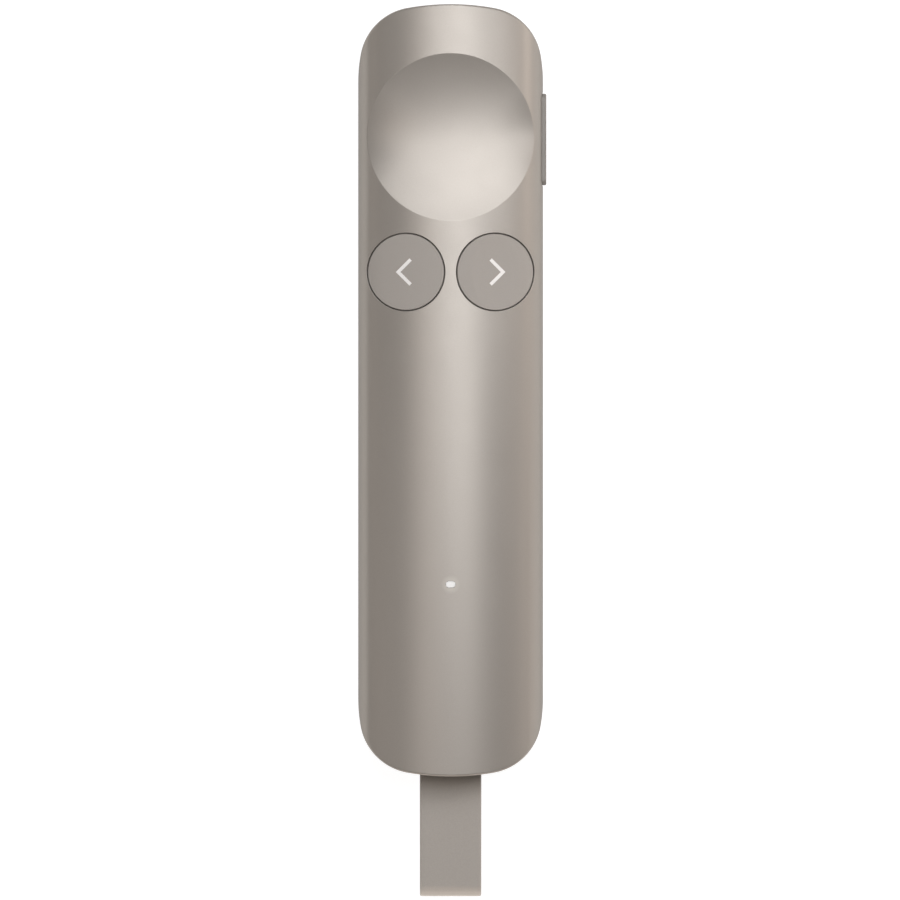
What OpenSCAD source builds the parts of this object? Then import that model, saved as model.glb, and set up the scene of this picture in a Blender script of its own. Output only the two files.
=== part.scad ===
// A hand-held wireless presentation clicker. X runs across the body, Y towards the dish end and Z out
// of the button face. The origin is the centre of the flat back.

/* [Body] */
// Width across the sides
body_w = 30.5; // [29.5:0.1:33]
// Length without the pull tab
body_l = 127.3; // [120:0.1:140]
// Thickness at the top of the crown
body_t = 13.2; // [12.8:0.1:15]
// Thickness of the shells' walls
wall = 1.5; // [1.3:0.05:1.6]
// How far the crown falls from the middle of the top face to the sides
crown_drop = 4.165; // [3.2:0.005:4.8]
// Radius where the crown rolls into the sides
shoulder_r = 5.5; // [5:0.1:6]
// Radius of the long lower edges
base_r = 5; // [3.5:0.1:5.5]
// Radius of the back's edges at the two ends
base_end_r = 3; // [2.2:0.1:3.6]
// Radius of the gentle arc across each end
end_arc_r = 41.4; // [38:0.1:60]
// Radius of the four corners seen from above
corner_r = 9.47; // [8.5:0.01:10.5]
// Radius of the slow arc from a corner into the straight side
side_arc_r = 26.2; // [22:0.1:34]
// How far that slow arc draws the corner in from the side
side_draw = 0.26; // [0.15:0.01:0.5]

/* [Shell joint] */
// Height of the joint between the two shells
seam_h = 2.8; // [2.6:0.1:3]
// Height of the lip on the back shell
lip_h = 0.7; // [0.5:0.05:0.75]
// Thickness of the lip
lip_t = 0.6; // [0.5:0.05:0.65]
// Depth of the outer wall that the lip stands behind
lip_inset = 1.25; // [1.15:0.05:1.35]
// Clearance between parts that are fixed together
fit = 0.05; // [0.03:0.01:0.08]

/* [Dish] */
// Distance from the dish's rim to the sides of the body
dish_margin = 1.45; // [1.3:0.05:2.2]
// Depth of the dish at its centre
dish_depth = 2.2; // [1.8:0.1:2.4]
// Distance from the far end to the dish's rim
dish_end_margin = 8.1; // [7.5:0.1:10]

/* [Buttons] */
// Distance from a round button cap to the side of the body
cap_margin = 1.62; // [1.5:0.01:2]
// Distance between the two caps
cap_between = 2.22; // [2:0.01:2.6]
// Gap around a button cap
cap_gap = 0.26; // [0.2:0.01:0.3]
// Distance along the body from the dish's rim to the caps
caps_below_dish = 2.19; // [2.1:0.01:5]
// Travel of a cap and of the side bar
key_travel = 0.35; // [0.25:0.01:0.4]
// Thickness of a cap at its thin outer edge
cap_edge_t = 0.7; // [0.5:0.05:0.8]
// Thickness of a cap's wall around its hollow
cap_rim_t = 2; // [1.7:0.1:2.2]
// Radius of the post under a cap
cap_post_r = 1.3; // [1:0.05:1.6]
// How far a retaining lobe reaches past the cap
lobe_reach = 1.3; // [1:0.05:1.4]
// Width of a retaining lobe
lobe_w = 3; // [2.5:0.1:3.5]
// Thickness of a retaining lobe
lobe_t = 0.9; // [0.7:0.05:1]
// Depth of the finger scoop in the next button
scoop_depth = 0.25; // [0.15:0.01:0.35]
// Height of a chevron
chevron_h = 4.5; // [4:0.1:5]
// Width of a chevron's stroke
chevron_stroke = 0.55; // [0.4:0.05:0.7]
// Depth of a chevron inlay in its cap
chevron_depth = 0.6; // [0.5:0.05:0.7]
// How far a chevron's middle lies from its cap's centre, away from the body's centre line
chevron_shift = 0.35; // [0:0.05:0.8]

/* [Side bar] */
// Length of the side bar
bar_l = 15.1; // [14:0.1:16]
// Height of the side bar
bar_h = 3; // [2.6:0.1:3.1]
// How far the bar stands out of the side
bar_proud = 0.55; // [0.45:0.05:0.8]
// Gap around the bar
bar_gap = 0.2; // [0.15:0.01:0.22]
// Distance from the far end to the middle of the bar
bar_from_end = 22.25; // [21:0.1:24]
// Margin of the flange that holds the bar in
bar_flange = 0.5; // [0.4:0.05:0.6]
// Thickness of that flange
bar_flange_t = 0.7; // [0.6:0.05:0.8]
// Rounding of the bar's outer edges
bar_round = 0.2; // [0.15:0.05:0.35]
// Radius of the bar's four corners seen from the side
bar_corner_r = 0.95; // [0.5:0.05:1.3]

/* [Status window] */
// Length of the window across the body
window_l = 1.6; // [1.4:0.1:2.2]
// Width of the window along the body
window_w = 1.05; // [0.9:0.05:1.3]
// Distance from the tab end to the window
window_from_tab = 31.65; // [30:0.1:34]
// Margin of the flange under the shell
window_flange = 0.7; // [0.5:0.05:1]
// Thickness of that flange
window_flange_t = 0.6; // [0.5:0.05:0.8]

/* [Receiver and pull tab] */
// Width of the receiver's housing
rx_w = 12.4; // [12:0.1:12.6]
// Thickness of the receiver's housing
rx_t = 6.4; // [6.2:0.05:6.6]
// Length of the receiver's housing
rx_l = 13; // [12.6:0.1:15]
// Rounding of the housing's long edges
rx_round = 1.2; // [0.8:0.1:1.5]
// Side walls of the housing
rx_wall = 1; // [0.9:0.05:1]
// Gap between the housing and its dock
dock_gap = 0.2; // [0.15:0.01:0.25]
// How far the housing's end face lies inside the body's end
rx_recess = 0.15; // [0.1:0.05:0.25]
// Length that the receiver slides to come clear
rx_slide = 22; // [20:0.5:24]
// Width of the pull tab
tab_w = 10.15; // [9.8:0.05:10.2]
// Length of the tab beyond the body
tab_l = 19.8; // [18:0.1:24]
// Thickness of the tab's band
band_t = 1.1; // [0.9:0.05:1.15]
// Radius of the pin that anchors the tab
anchor_r = 0.75; // [0.65:0.01:0.78]
// Running clearance of the band round its pin
anchor_fit = 0.05; // [0.03:0.01:0.06]
// Distance from the receiver's end face to the pin
anchor_in = 2.2; // [2.1:0.05:2.4]
// Angle that the tab can swing up and down about its pin
tab_swing = 12; // [8:1:14]

/* [Plug and port] */
// Width of the plug's shell
plug_w = 8.25; // [8.2:0.01:8.3]
// Height of the plug's shell
plug_h = 2.4; // [2.36:0.01:2.44]
// Length of the plug's shell beyond the housing
plug_l = 6.65; // [6.5:0.01:6.7]
// Thickness of the plug's sheet metal
plug_wall = 0.3; // [0.25:0.01:0.35]
// Slip clearance between the plug and the port
plug_fit = 0.05; // [0.03:0.01:0.06]
// Thickness of the port's sheet metal
port_wall = 0.3; // [0.25:0.01:0.35]
// Length of the port
port_l = 7.3; // [7.2:0.05:8]
// Width of the contact tongue
tongue_w = 6.7; // [6.6:0.01:6.75]
// Thickness of the contact tongue
tongue_t = 0.7; // [0.66:0.01:0.74]
// Length of the contact tongue
tongue_l = 4.9; // [4.5:0.1:5]

/* [Inside] */
// Thickness of the main board
board_t = 0.8; // [0.6:0.05:1]
// Distance from the main board's edges to the sides of the body
board_margin = 3.75; // [3.65:0.05:4]
// Thickness of the chassis walls
rail_t = 1.2; // [1:0.05:1.3]
// Wall of the dock sleeve at its sides and top
sleeve_wall = 0.9; // [0.8:0.05:1]
// Floor of the dock sleeve
sleeve_floor = 0.45; // [0.4:0.05:0.6]
// Room between the battery cell and the rails at its sides
battery_side_gap = 1.15; // [0.5:0.05:2.5]
// Thickness of the battery cell
battery_t = 4.2; // [3.6:0.1:4.6]
// Thickness of the adhesive pads
pad_t = 0.2; // [0.15:0.01:0.25]
// Radius of the screws' shanks
screw_r = 0.8; // [0.7:0.05:0.9]
// Length of the screws under the head
screw_l = 3.6; // [3:0.1:3.8]
// Side of a tactile switch's square base
switch_w = 4.5; // [4:0.1:4.8]
// Height of that base
switch_h = 1.2; // [1.1:0.05:1.3]
// Radius of a switch's plunger
plunger_r = 1.1; // [0.9:0.05:1.2]
// How far a plunger stands out of its base
plunger_rise = 0.5; // [0.45:0.01:0.6]
// Width of the radio's shield can
can_w = 11; // [10:0.5:12]
// Length of the shield can
can_l = 11; // [10:0.5:13]
// Height of the shield can
can_h = 1.6; // [1.4:0.1:1.8]
// Thickness of the shield can's metal
can_wall = 0.2; // [0.15:0.01:0.25]
// Radius of the haptic motor
motor_r = 4; // [3.5:0.1:4.2]
// Thickness of the haptic motor
motor_t = 2.7; // [2.4:0.1:2.8]

/* [Hidden] */

$fn = 96;
// Overrun of every cut
over = 1;

// Colours of the pieces
paint = "#b3a99f";
cap_paint = "#8f867d";
white = "#efebe4";
silicone = "#a0978e";
board_green = "#1f5a3c";
dark = "#2a2a2c";
steel = "#b9bcc0";

// Half sizes and end planes
half_w = body_w / 2;
far_y = body_l / 2;
tab_y = -body_l / 2;

// The outline and the side view clear the flats of the solids that they trim by these hairs
side_relief = 0.02;
end_relief = 0.06;

// Centres of the arcs that make the outline, for the far right corner
corner_x = half_w + side_relief - corner_r - side_draw;
corner_y = far_y - end_arc_r + sqrt(pow(end_arc_r - corner_r, 2) - pow(corner_x, 2));
side_angle = acos(1 - side_draw / (side_arc_r - corner_r));
side_arc_x = half_w + side_relief - side_arc_r;
side_arc_y = corner_y - (side_arc_r - corner_r) * sin(side_angle);
end_angle = asin(corner_x / (end_arc_r - corner_r));

// Centres of the arcs that make the cross-section
crown_r = (half_w * half_w + crown_drop * crown_drop) / (2 * crown_drop);
crown_z = body_t - crown_r;
shoulder_x = half_w - shoulder_r;
shoulder_z = crown_z + sqrt(pow(crown_r - shoulder_r, 2) - pow(shoulder_x, 2));
shoulder_angle = asin(shoulder_x / (crown_r - shoulder_r));
// The lower edge is rounded as far as the shoulder above it leaves room
side_flat = 0.5;
edge_r = min(base_r, shoulder_z - side_flat);
edge_x = half_w - edge_r;
side_z = (edge_r + shoulder_z) / 2;

// Height of the skin, set in by a depth, at a distance from the centre line
function skin_z(x, inset) =
    x <= (crown_r - inset) * sin(shoulder_angle)
        ? crown_z + sqrt(pow(crown_r - inset, 2) - x * x)
        : shoulder_z + sqrt(pow(shoulder_r - inset, 2) - pow(x - shoulder_x, 2));

// Heights of the stack inside, from the back upwards
chassis_z = wall + fit;
rx_z = chassis_z + sleeve_floor + dock_gap + rx_t / 2;
port_h = plug_h + 2 * plug_fit + 2 * port_wall;
port_w = plug_w + 2 * plug_fit + 2 * port_wall;
board_z = rx_z + port_h / 2;
board_top = board_z + board_t;
switch_top = board_top + switch_h;
plunger_top = switch_top + plunger_rise;

// Places along the body
dish_r = half_w - dish_margin;
dish_y = far_y - dish_end_margin - dish_r;
cap_d = (body_w - cap_between) / 2 - cap_margin;
cap_r = cap_d / 2;
cap_x = (cap_d + cap_between) / 2;
caps_y = dish_y - dish_r - caps_below_dish - cap_r;
bar_y = far_y - bar_from_end;
window_y = tab_y + window_from_tab;

// The dish is turned about an axis across the body, high above the crown. Its floor falls to the
// skin at its left and right rims
dish_side_drop = body_t - dish_depth - skin_z(dish_r, 0);
dish_axis_h = (dish_r * dish_r / dish_depth - dish_depth) / 2;
dish_axis_z = body_t + dish_axis_h;
dish_turn_r = dish_axis_h + dish_depth;
dish_floor_r = (dish_r * dish_r + dish_side_drop * dish_side_drop) / (2 * dish_side_drop);

// Button caps
cap_bottom = skin_z(cap_x + cap_r, 0) - cap_edge_t;
cap_post_l = 0.45;
cap_hollow_z = plunger_top + cap_post_l;
lobe_top = skin_z(cap_x + lobe_w / 2, wall) - fit;
scoop_r = (cap_r * cap_r + scoop_depth * scoop_depth) / (2 * scoop_depth);
cap_tilt = asin(cap_x / crown_r);

// The dock, from the tab end inwards
dock_w = rx_w + 2 * dock_gap;
dock_t = rx_t + 2 * dock_gap;
rx_end_y = tab_y + rx_l;
bay_y = rx_end_y + dock_gap;
board_start = bay_y + rail_t + fit;
port_back = bay_y + port_l;
sleeve_half = dock_w / 2 + sleeve_wall;
anchor_y = tab_y + anchor_in;
loop_r = anchor_r + anchor_fit;
tab_r = loop_r + band_t;
tab_fold_y = tab_y - tab_l + tab_r;

// The chassis rails and walls
rail_x = edge_x + rail_t / 2;
rail_in = rail_x - rail_t;
front_wall_y = port_back + rail_t / 2;
screw_gap = 0.3;
head_r = 1.4;
head_h = 0.9;
boss_r = 1.9;
lug_t = 1.2;
screw_x = rail_in - screw_gap - head_r;
low_screw_y = front_wall_y + rail_t + boss_r + screw_gap;
high_screw_y = caps_y + cap_r + lobe_reach + boss_r + 2 * screw_gap;
battery_start = low_screw_y + boss_r + 2 * rail_t;
lead_l = 3;
plug_block_l = 3;
rear_wall_y = caps_y - cap_r;
battery_end = rear_wall_y - rail_t - plug_block_l - lead_l;
battery_l = battery_end - battery_start;
battery_w = 2 * (rail_in - battery_side_gap);
far_wall_y = far_y - wall - 4 * rail_t - side_draw;
board_end = far_wall_y + rail_t;
board_w = body_w - 2 * board_margin;

// The side switch hangs under the board beside the bar
side_switch_h = 2 * (board_z - side_z);
side_switch_l = 3.6;
side_switch_w = 2.2;
bar_out = half_w + bar_proud;
bar_flange_x = half_w - wall - bar_gap * 2;
bar_in = bar_flange_x - bar_flange_t;
side_switch_out = bar_in - plunger_rise - key_travel;
side_switch_in = side_switch_out - side_switch_w;
side_plunger_r = 0.6;
side_room_gap = 0.5;
side_room_r = side_plunger_r + side_room_gap;
side_dome_rise = 0.5;
notch_gap = 0.3;

// Domes and plungers inside the switches
dome_r = 1.55;
dome_rise = 0.5;
dome_t = 0.1;
switch_floor = 0.15;
switch_lid = 0.2;
plunger_flange_r = 1.4;
plunger_play = 0.08;

// Small chips and parts on the board, as lengths, widths and heights
led_size = [1.6, 0.8, 0.6];
controller_size = [6, 6, 0.85];
crystal_size = [2.5, 2, 0.6];
sensor_size = [3, 3, 0.9];
power_size = [3, 3, 0.9];
antenna_size = [7, 2, 1];
header_size = [5, 3, 1.1];
passive_size = [1, 0.5, 0.5];
passive_rows = 7;
passive_columns = 2;
passive_step = 1.5;
battery_round = 1.6;
battery_step = 1.2;
lead_z = wall + pad_t + battery_t / 2;
part_gap = 0.4;
can_y = caps_y - cap_r - lobe_reach - part_gap - can_l / 2;
motor_y = window_y + window_w / 2 + window_flange + part_gap + motor_r;
rx_board_t = 0.6;
rx_chip_h = 0.9;
rx_seat = 1.6;
plug_root = rx_end_y - rx_seat;
rx_board_start = tab_y + anchor_in + tab_r + rx_wall;
lead_r = 0.4;
lead_pitch = 1.4;
hook_l = 5;
hook_t = 0.75;
hook_barb = 0.35;
hook_rise = 2.8;
hook_top = seam_h + hook_rise;
hook_place_shares = [-0.32, -0.08, 0.17];

// Two-dimensional pieces

// A sector of a circle between two angles, with its straight sides reaching the centre
module pie(r, from, to) {
    reach = 2 * r;
    intersection() {
        circle(r = r, $fn = 180);
        polygon([
            [0, 0],
            [reach * cos(from), reach * sin(from)],
            [reach * cos((from + to) / 2), reach * sin((from + to) / 2)],
            [reach * cos(to), reach * sin(to)]
        ]);
    }
}

// A rectangle centred on the origin with round corners
module round_rect(w, h, r) {
    x = w / 2;
    y = h / 2;
    polygon([
        [x - r, -y], [x - r, r - y], [x, r - y], [x, y - r], [x - r, y - r], [x - r, y],
        [r - x, y], [r - x, y - r], [-x, y - r], [-x, r - y], [r - x, r - y], [r - x, -y]
    ]);
    for (i = [0:3])
        translate([(x - r) * (i == 0 || i == 3 ? 1 : -1), (y - r) * (i < 2 ? 1 : -1)])
            pie(r, 90 * i, 90 * i + 90);
}

// A bar with fully round ends, along X
module stadium(w, h) {
    square([w - h, h], center = true);
    for (x = [h - w, w - h])
        translate([x / 2, 0]) circle(r = h / 2);
}

// Points along an arc, and a list of points mirrored and turned round
function arc_points(centre, r, from, to, steps) =
    [for (i = [0:steps]) let (a = from + (to - from) * i / steps) centre + r * [cos(a), sin(a)]];
function flip_x(points) = [for (i = [len(points) - 1:-1:0]) [-points[i][0], points[i][1]]];
function flip_y(points) = [for (i = [len(points) - 1:-1:0]) [points[i][0], -points[i][1]]];

// The body seen from above, set in by a depth
module outline(inset) {
    corner = concat(
        arc_points([side_arc_x, side_arc_y], side_arc_r - inset, 0, side_angle, 3),
        arc_points([corner_x, corner_y], corner_r - inset, side_angle, 90 - end_angle, 16),
        arc_points([0, far_y - end_arc_r], end_arc_r - inset, 90 - end_angle, 90, 4)
    );
    far_half = concat(corner, flip_x(corner));
    polygon(concat(far_half, flip_y(far_half)));
}

// The cross-section, set in by a depth, with X across and Y up
module section(inset) {
    right_half = concat(
        arc_points([edge_x, edge_r], edge_r - inset, -90, 0, 12),
        arc_points([shoulder_x, shoulder_z], shoulder_r - inset, 0, 90 - shoulder_angle, 12),
        arc_points([0, crown_z], crown_r - inset, 90 - shoulder_angle, 90, 10)
    );
    polygon(concat(right_half, flip_x(right_half)));
}

// The side view, set in by a depth, with X along the body and Y up
module side_view(inset) {
    y = far_y + end_relief - base_end_r;
    far_half = concat(
        arc_points([y, base_end_r], base_end_r - inset, -90, 0, 8),
        [[y + base_end_r - inset, body_t + over]]
    );
    polygon(concat(far_half, flip_x(far_half)));
}

// Solids that several pieces share

// The whole body, set in by a depth
module body(inset) {
    intersection() {
        translate([0, 0, -over]) linear_extrude(body_t + 2 * over) outline(inset);
        translate([0, body_l / 2 + over, 0]) rotate([90, 0, 0])
            linear_extrude(body_l + 2 * over) section(inset);
        translate([-body_w / 2 - over, 0, 0]) rotate([90, 0, 90])
            linear_extrude(body_w + 2 * over) side_view(inset);
    }
}

// The hollow of the dish, grown downwards and outwards by a wall
module dish(grow) {
    floor_r = dish_floor_r - grow;
    intersection() {
        translate([0, dish_y, 0]) cylinder(r = dish_r + grow, h = body_t + over, $fn = 180);
        translate([0, dish_y, dish_axis_z]) rotate([0, 90, 0])
            rotate_extrude($fn = 360)
                difference() {
                    translate([dish_axis_h - dish_r, -body_w])
                        square([dish_r + dish_depth + grow + over, 2 * body_w]);
                    translate([dish_turn_r + dish_floor_r, 0]) circle(r = floor_r, $fn = 360);
                }
    }
}

// A slab across the whole body between two heights
module slab(from, to) {
    translate([-body_w, -body_l, from]) cube([2 * body_w, 2 * body_l, to - from]);
}

// A stretch of extruded outline along Y, centred on the dock's height
module along_dock(from, to) {
    translate([0, to, rx_z]) rotate([90, 0, 0]) linear_extrude(to - from) children();
}

// A block centred on a point of the board, standing on a height
module chip(place, size, z) {
    translate([place[0] - size[0] / 2, place[1] - size[1] / 2, z]) cube(size);
}

module dock_mouth() {
    along_dock(tab_y - over, tab_y + wall + base_end_r)
        round_rect(dock_w, dock_t, rx_round + dock_gap);
}

module window_shape(margin) {
    stadium(window_l + 2 * margin, window_w + 2 * margin);
}

// The side bar seen from the side, grown by a margin
module bar_shape(margin) {
    round_rect(bar_l + 2 * margin, bar_h + 2 * margin, bar_corner_r + margin);
}

// Where the chassis screws stand
module at_screws() {
    for (x = [-screw_x, screw_x])
        for (y = [low_screw_y, high_screw_y])
            translate([x, y, 0]) children();
}

// The shells

module top_shell() {
    color(paint)
        difference() {
            union() {
                difference() {
                    body(0);
                    difference() {
                        body(wall);
                        dish(wall);
                    }
                }
                intersection() {
                    body(wall / 2);
                    at_screws() translate([0, 0, board_top]) cylinder(r = boss_r, h = body_t);
                }
            }
            dish(0);
            slab(-over, seam_h);
            // Rebate for the back shell's lip
            translate([0, 0, seam_h - over])
                linear_extrude(lip_h + fit + over) outline(lip_inset - fit);
            dock_mouth();
            for (x = [-cap_x, cap_x])
                translate([x, caps_y, cap_bottom - key_travel - cap_gap])
                    cylinder(r = cap_r + cap_gap, h = body_t);
            translate([0, window_y, board_top]) linear_extrude(body_t) window_shape(fit);
            at_screws() translate([0, 0, board_top - over])
                cylinder(r = screw_r + fit, h = screw_l - lug_t - board_t + over + fit);
            translate([shoulder_x, bar_y, side_z]) rotate([90, 0, 90])
                linear_extrude(half_w) bar_shape(bar_gap);
            snap_hooks(fit * 2);
        }
}

// Hooks that rise from the back shell's rim, grown by a clearance for their pockets
module snap_hooks(grow) {
    root_x = half_w - lip_inset - lip_t;
    for (m = [0, 1])
        for (share = hook_place_shares)
            mirror([m, 0, 0]) translate([root_x, share * body_l, 0]) rotate([90, 0, 0])
                translate([0, 0, -hook_l / 2 - grow])
                    linear_extrude(hook_l + 2 * grow)
                        polygon([
                            [-hook_t - grow, seam_h - lip_h],
                            [-hook_t - grow, hook_top + grow],
                            [-hook_t / 2, hook_top + grow],
                            [lip_t + hook_barb + grow, hook_top - hook_t],
                            [lip_t + hook_barb + grow, hook_top - 2 * hook_barb - hook_t - grow],
                            [0, hook_top - 4 * hook_barb - hook_t - grow],
                            [0, seam_h - lip_h]
                        ]);
}

module back_shell() {
    color(paint)
        difference() {
            union() {
                difference() {
                    body(0);
                    body(wall);
                    slab(seam_h, body_t + over);
                }
                // The lip stands up inside the top shell's rim
                translate([0, 0, seam_h - lip_h])
                    linear_extrude(2 * lip_h)
                        difference() {
                            outline(lip_inset);
                            outline(lip_inset + lip_t);
                        }
                snap_hooks(0);
            }
            dock_mouth();
        }
}

module chassis() {
    color(dark)
        difference() {
            intersection() {
                body(wall + fit);
                linear_extrude(body_t) outline(lip_inset + lip_t + fit);
                union() {
                    // Long rails under the board's edges
                    for (x = [-rail_x, rail_in])
                        translate([x, front_wall_y, chassis_z])
                            cube([rail_t, far_wall_y - front_wall_y + rail_t, board_z - chassis_z]);
                    for (y = [front_wall_y, rear_wall_y, far_wall_y])
                        translate([-rail_x, y, chassis_z])
                            cube([2 * rail_x, rail_t, board_z - chassis_z]);
                    for (x = [-sleeve_half, sleeve_half - sleeve_wall])
                        translate([x, bay_y, chassis_z])
                            cube([sleeve_wall, front_wall_y - bay_y, board_z - chassis_z]);
                    // The sleeve that the receiver slides in, closed by the bay's wall
                    translate([-sleeve_half, tab_y, chassis_z])
                        cube([
                            2 * sleeve_half,
                            bay_y + rail_t - tab_y,
                            rx_z + dock_t / 2 + sleeve_wall - chassis_z
                        ]);
                    at_screws() translate([0, 0, board_z - lug_t]) cylinder(r = boss_r, h = lug_t);
                    for (x = [-rail_x, screw_x])
                        for (y = [low_screw_y, high_screw_y])
                            translate([x, y - boss_r, board_z - lug_t])
                                cube([rail_x - screw_x, 2 * boss_r, lug_t]);
                }
            }
            along_dock(tab_y - over, bay_y) round_rect(dock_w, dock_t, rx_round + dock_gap);
            // Window for the port
            along_dock(bay_y - over, bay_y + rail_t + over)
                stadium(port_w + 2 * fit, port_h + 2 * fit);
            at_screws() cylinder(r = screw_r + fit, h = body_t);
            // Room for the side switch and its plunger
            translate([
                side_switch_in - notch_gap,
                bar_y - side_switch_l / 2 - notch_gap,
                board_z - side_switch_h - notch_gap
            ])
                cube([half_w, side_switch_l + 2 * notch_gap, body_t]);
        }
}

module chassis_screws() {
    color(steel)
        at_screws() {
            translate([0, 0, board_z - lug_t - head_h])
                difference() {
                    cylinder(r = head_r, h = head_h);
                    translate([0, 0, -over]) cylinder(r = screw_r, h = head_h / 2 + over, $fn = 6);
                }
            translate([0, 0, board_z - lug_t]) cylinder(r = screw_r, h = screw_l);
        }
}

module main_board() {
    color(board_green)
        difference() {
            intersection() {
                body(wall + 2 * fit);
                translate([0, (board_start + board_end) / 2, board_z])
                    linear_extrude(board_t) round_rect(board_w, board_end - board_start, boss_r);
            }
            at_screws() cylinder(r = screw_r + fit, h = body_t);
        }
}

// The buttons

// A chevron that points along -X, centred on its own middle
module chevron_shape() {
    reach = chevron_h / 2;
    back = chevron_stroke * sqrt(2);
    translate([-(reach + back / 2) / 2, 0])
        polygon([
            [0, 0], [reach, reach], [reach + back / 2, reach - back / 2], [back, 0],
            [reach + back / 2, back / 2 - reach], [reach, -reach]
        ]);
}

// The room that a chevron is let into, over a cap on the side given by -1 or 1
module chevron_column(side) {
    intersection() {
        translate([side * (cap_x + chevron_shift), caps_y, cap_bottom])
            linear_extrude(body_t) mirror([side > 0 ? 1 : 0, 0]) chevron_shape();
        // Its floor tilts with the cap
        translate([side * cap_x, caps_y, skin_z(cap_x, 0) - chevron_depth])
            rotate([0, side * cap_tilt, 0])
                translate([-cap_r, -cap_r, 0]) cube([cap_d, cap_d, body_t]);
    }
}

// The finger scoop that hollows the next cap
module scoop() {
    reach = cap_r + cap_gap;
    half_angle = asin(reach / scoop_r);
    floor_points = arc_points(
        [0, scoop_r - scoop_depth], scoop_r, -90 - half_angle, -90 + half_angle, 16
    );
    translate([cap_x, caps_y, skin_z(cap_x, 0)]) rotate([0, cap_tilt, 0])
        translate([-cap_d, 0, 0]) rotate([90, 0, 90])
            linear_extrude(2 * cap_d)
                polygon(concat(floor_points, [[reach, cap_d], [-reach, cap_d]]));
}

// A cap before its chevron is let in, on the side given by -1 or 1
module cap_blank(side) {
    difference() {
        intersection() {
            body(0);
            translate([side * cap_x, caps_y, cap_bottom]) cylinder(r = cap_r, h = body_t);
        }
        translate([side * cap_x, caps_y, cap_bottom - over])
            cylinder(r = cap_r - cap_rim_t, h = cap_hollow_z - cap_bottom + over);
        if (side > 0) scoop();
    }
    translate([side * cap_x, caps_y, plunger_top])
        cylinder(r = cap_post_r, h = cap_hollow_z - plunger_top);
    // Lobes that catch under the shell
    lobe_l = lobe_reach + cap_rim_t / 2;
    for (y = [-cap_r - lobe_reach, cap_r - cap_rim_t / 2])
        translate([side * cap_x - lobe_w / 2, caps_y + y, lobe_top - lobe_t])
            cube([lobe_w, lobe_l, lobe_t]);
}

module cap(side) {
    difference() {
        cap_blank(side);
        chevron_column(side);
    }
}

module cap_chevron(side) {
    color(white)
        difference() {
            intersection() {
                body(0);
                chevron_column(side);
            }
            if (side > 0) scoop();
        }
}

module prev_button() { color(cap_paint) cap(-1); }
module next_button() { color(cap_paint) cap(1); }
module prev_chevron() { cap_chevron(-1); }
module next_chevron() { cap_chevron(1); }

module side_button() {
    color(cap_paint) {
        translate([bar_flange_x, bar_y, side_z]) rotate([90, 0, 90]) {
            linear_extrude(bar_out - bar_flange_x - bar_round) bar_shape(0);
            translate([0, 0, bar_out - bar_flange_x - bar_round])
                linear_extrude(bar_round) bar_shape(-bar_round);
            translate([0, 0, -bar_flange_t])
                linear_extrude(bar_flange_t)
                    square([bar_l + 2 * bar_flange, bar_h + bar_flange], center = true);
        }
    }
}

// The switches, drawn standing on z = 0

// The room inside a switch's base, with the hole that its plunger comes out of
module switch_room(room_r, hole_r, h) {
    translate([0, 0, switch_floor]) {
        cylinder(r = room_r, h = h - switch_floor - switch_lid);
        cylinder(r = hole_r, h = h);
    }
}

module snap_dome(r, rise) {
    ball_r = (r * r + rise * rise) / (2 * rise);
    translate([0, 0, switch_floor])
        intersection() {
            translate([0, 0, rise - ball_r])
                difference() {
                    sphere(r = ball_r);
                    sphere(r = ball_r - dome_t);
                }
            cylinder(r = r, h = rise);
        }
}

module switch_plunger() {
    flange = switch_h - switch_lid - switch_floor - dome_rise - fit;
    translate([0, 0, switch_floor + dome_rise]) {
        cylinder(r = plunger_flange_r, h = flange);
        cylinder(r = plunger_r, h = switch_h - switch_floor - dome_rise + plunger_rise);
    }
}

module at_switch(side) {
    translate([side * cap_x, caps_y, board_top]) children();
}

module cap_switch_base(side) {
    color(dark)
        at_switch(side)
            difference() {
                translate([-switch_w / 2, -switch_w / 2, 0]) cube([switch_w, switch_w, switch_h]);
                switch_room(dome_r + plunger_play, plunger_r + plunger_play, switch_h);
            }
}

module prev_switch_base() { cap_switch_base(-1); }
module next_switch_base() { cap_switch_base(1); }
module prev_switch_dome() { color(steel) at_switch(-1) snap_dome(dome_r, dome_rise); }
module next_switch_dome() { color(steel) at_switch(1) snap_dome(dome_r, dome_rise); }
module prev_switch_plunger() { color(white) at_switch(-1) switch_plunger(); }
module next_switch_plunger() { color(white) at_switch(1) switch_plunger(); }

// The side switch lies on its side, so its own up is the body's +X
module at_side_switch() {
    translate([side_switch_in, bar_y, side_z]) rotate([0, 90, 0]) children();
}

module side_switch_base() {
    color(dark)
        difference() {
            translate([side_switch_in, bar_y - side_switch_l / 2, board_z - side_switch_h])
                cube([side_switch_w, side_switch_l, side_switch_h]);
            at_side_switch()
                switch_room(side_room_r, side_plunger_r + plunger_play, side_switch_w);
        }
}

module side_switch_dome() {
    color(steel) at_side_switch() snap_dome(side_room_r - plunger_play, side_dome_rise);
}

module side_switch_plunger() {
    color(white)
        at_side_switch() translate([0, 0, switch_floor + side_dome_rise])
            cylinder(r = side_plunger_r, h = bar_in - side_switch_in - switch_floor - side_dome_rise);
}

// The status light

module status_light_pipe() {
    led_z = board_top + led_size[2] + fit;
    flange_top = skin_z(window_l / 2 + window_flange, wall);
    color(white)
        intersection() {
            body(0);
            union() {
                translate([0, window_y, led_z]) linear_extrude(body_t) window_shape(0);
                translate([0, window_y, flange_top - window_flange_t])
                    linear_extrude(window_flange_t) window_shape(window_flange);
            }
        }
}

module status_led() {
    color("ivory") chip([0, window_y], led_size, board_top);
}

// The battery and its lead

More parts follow.
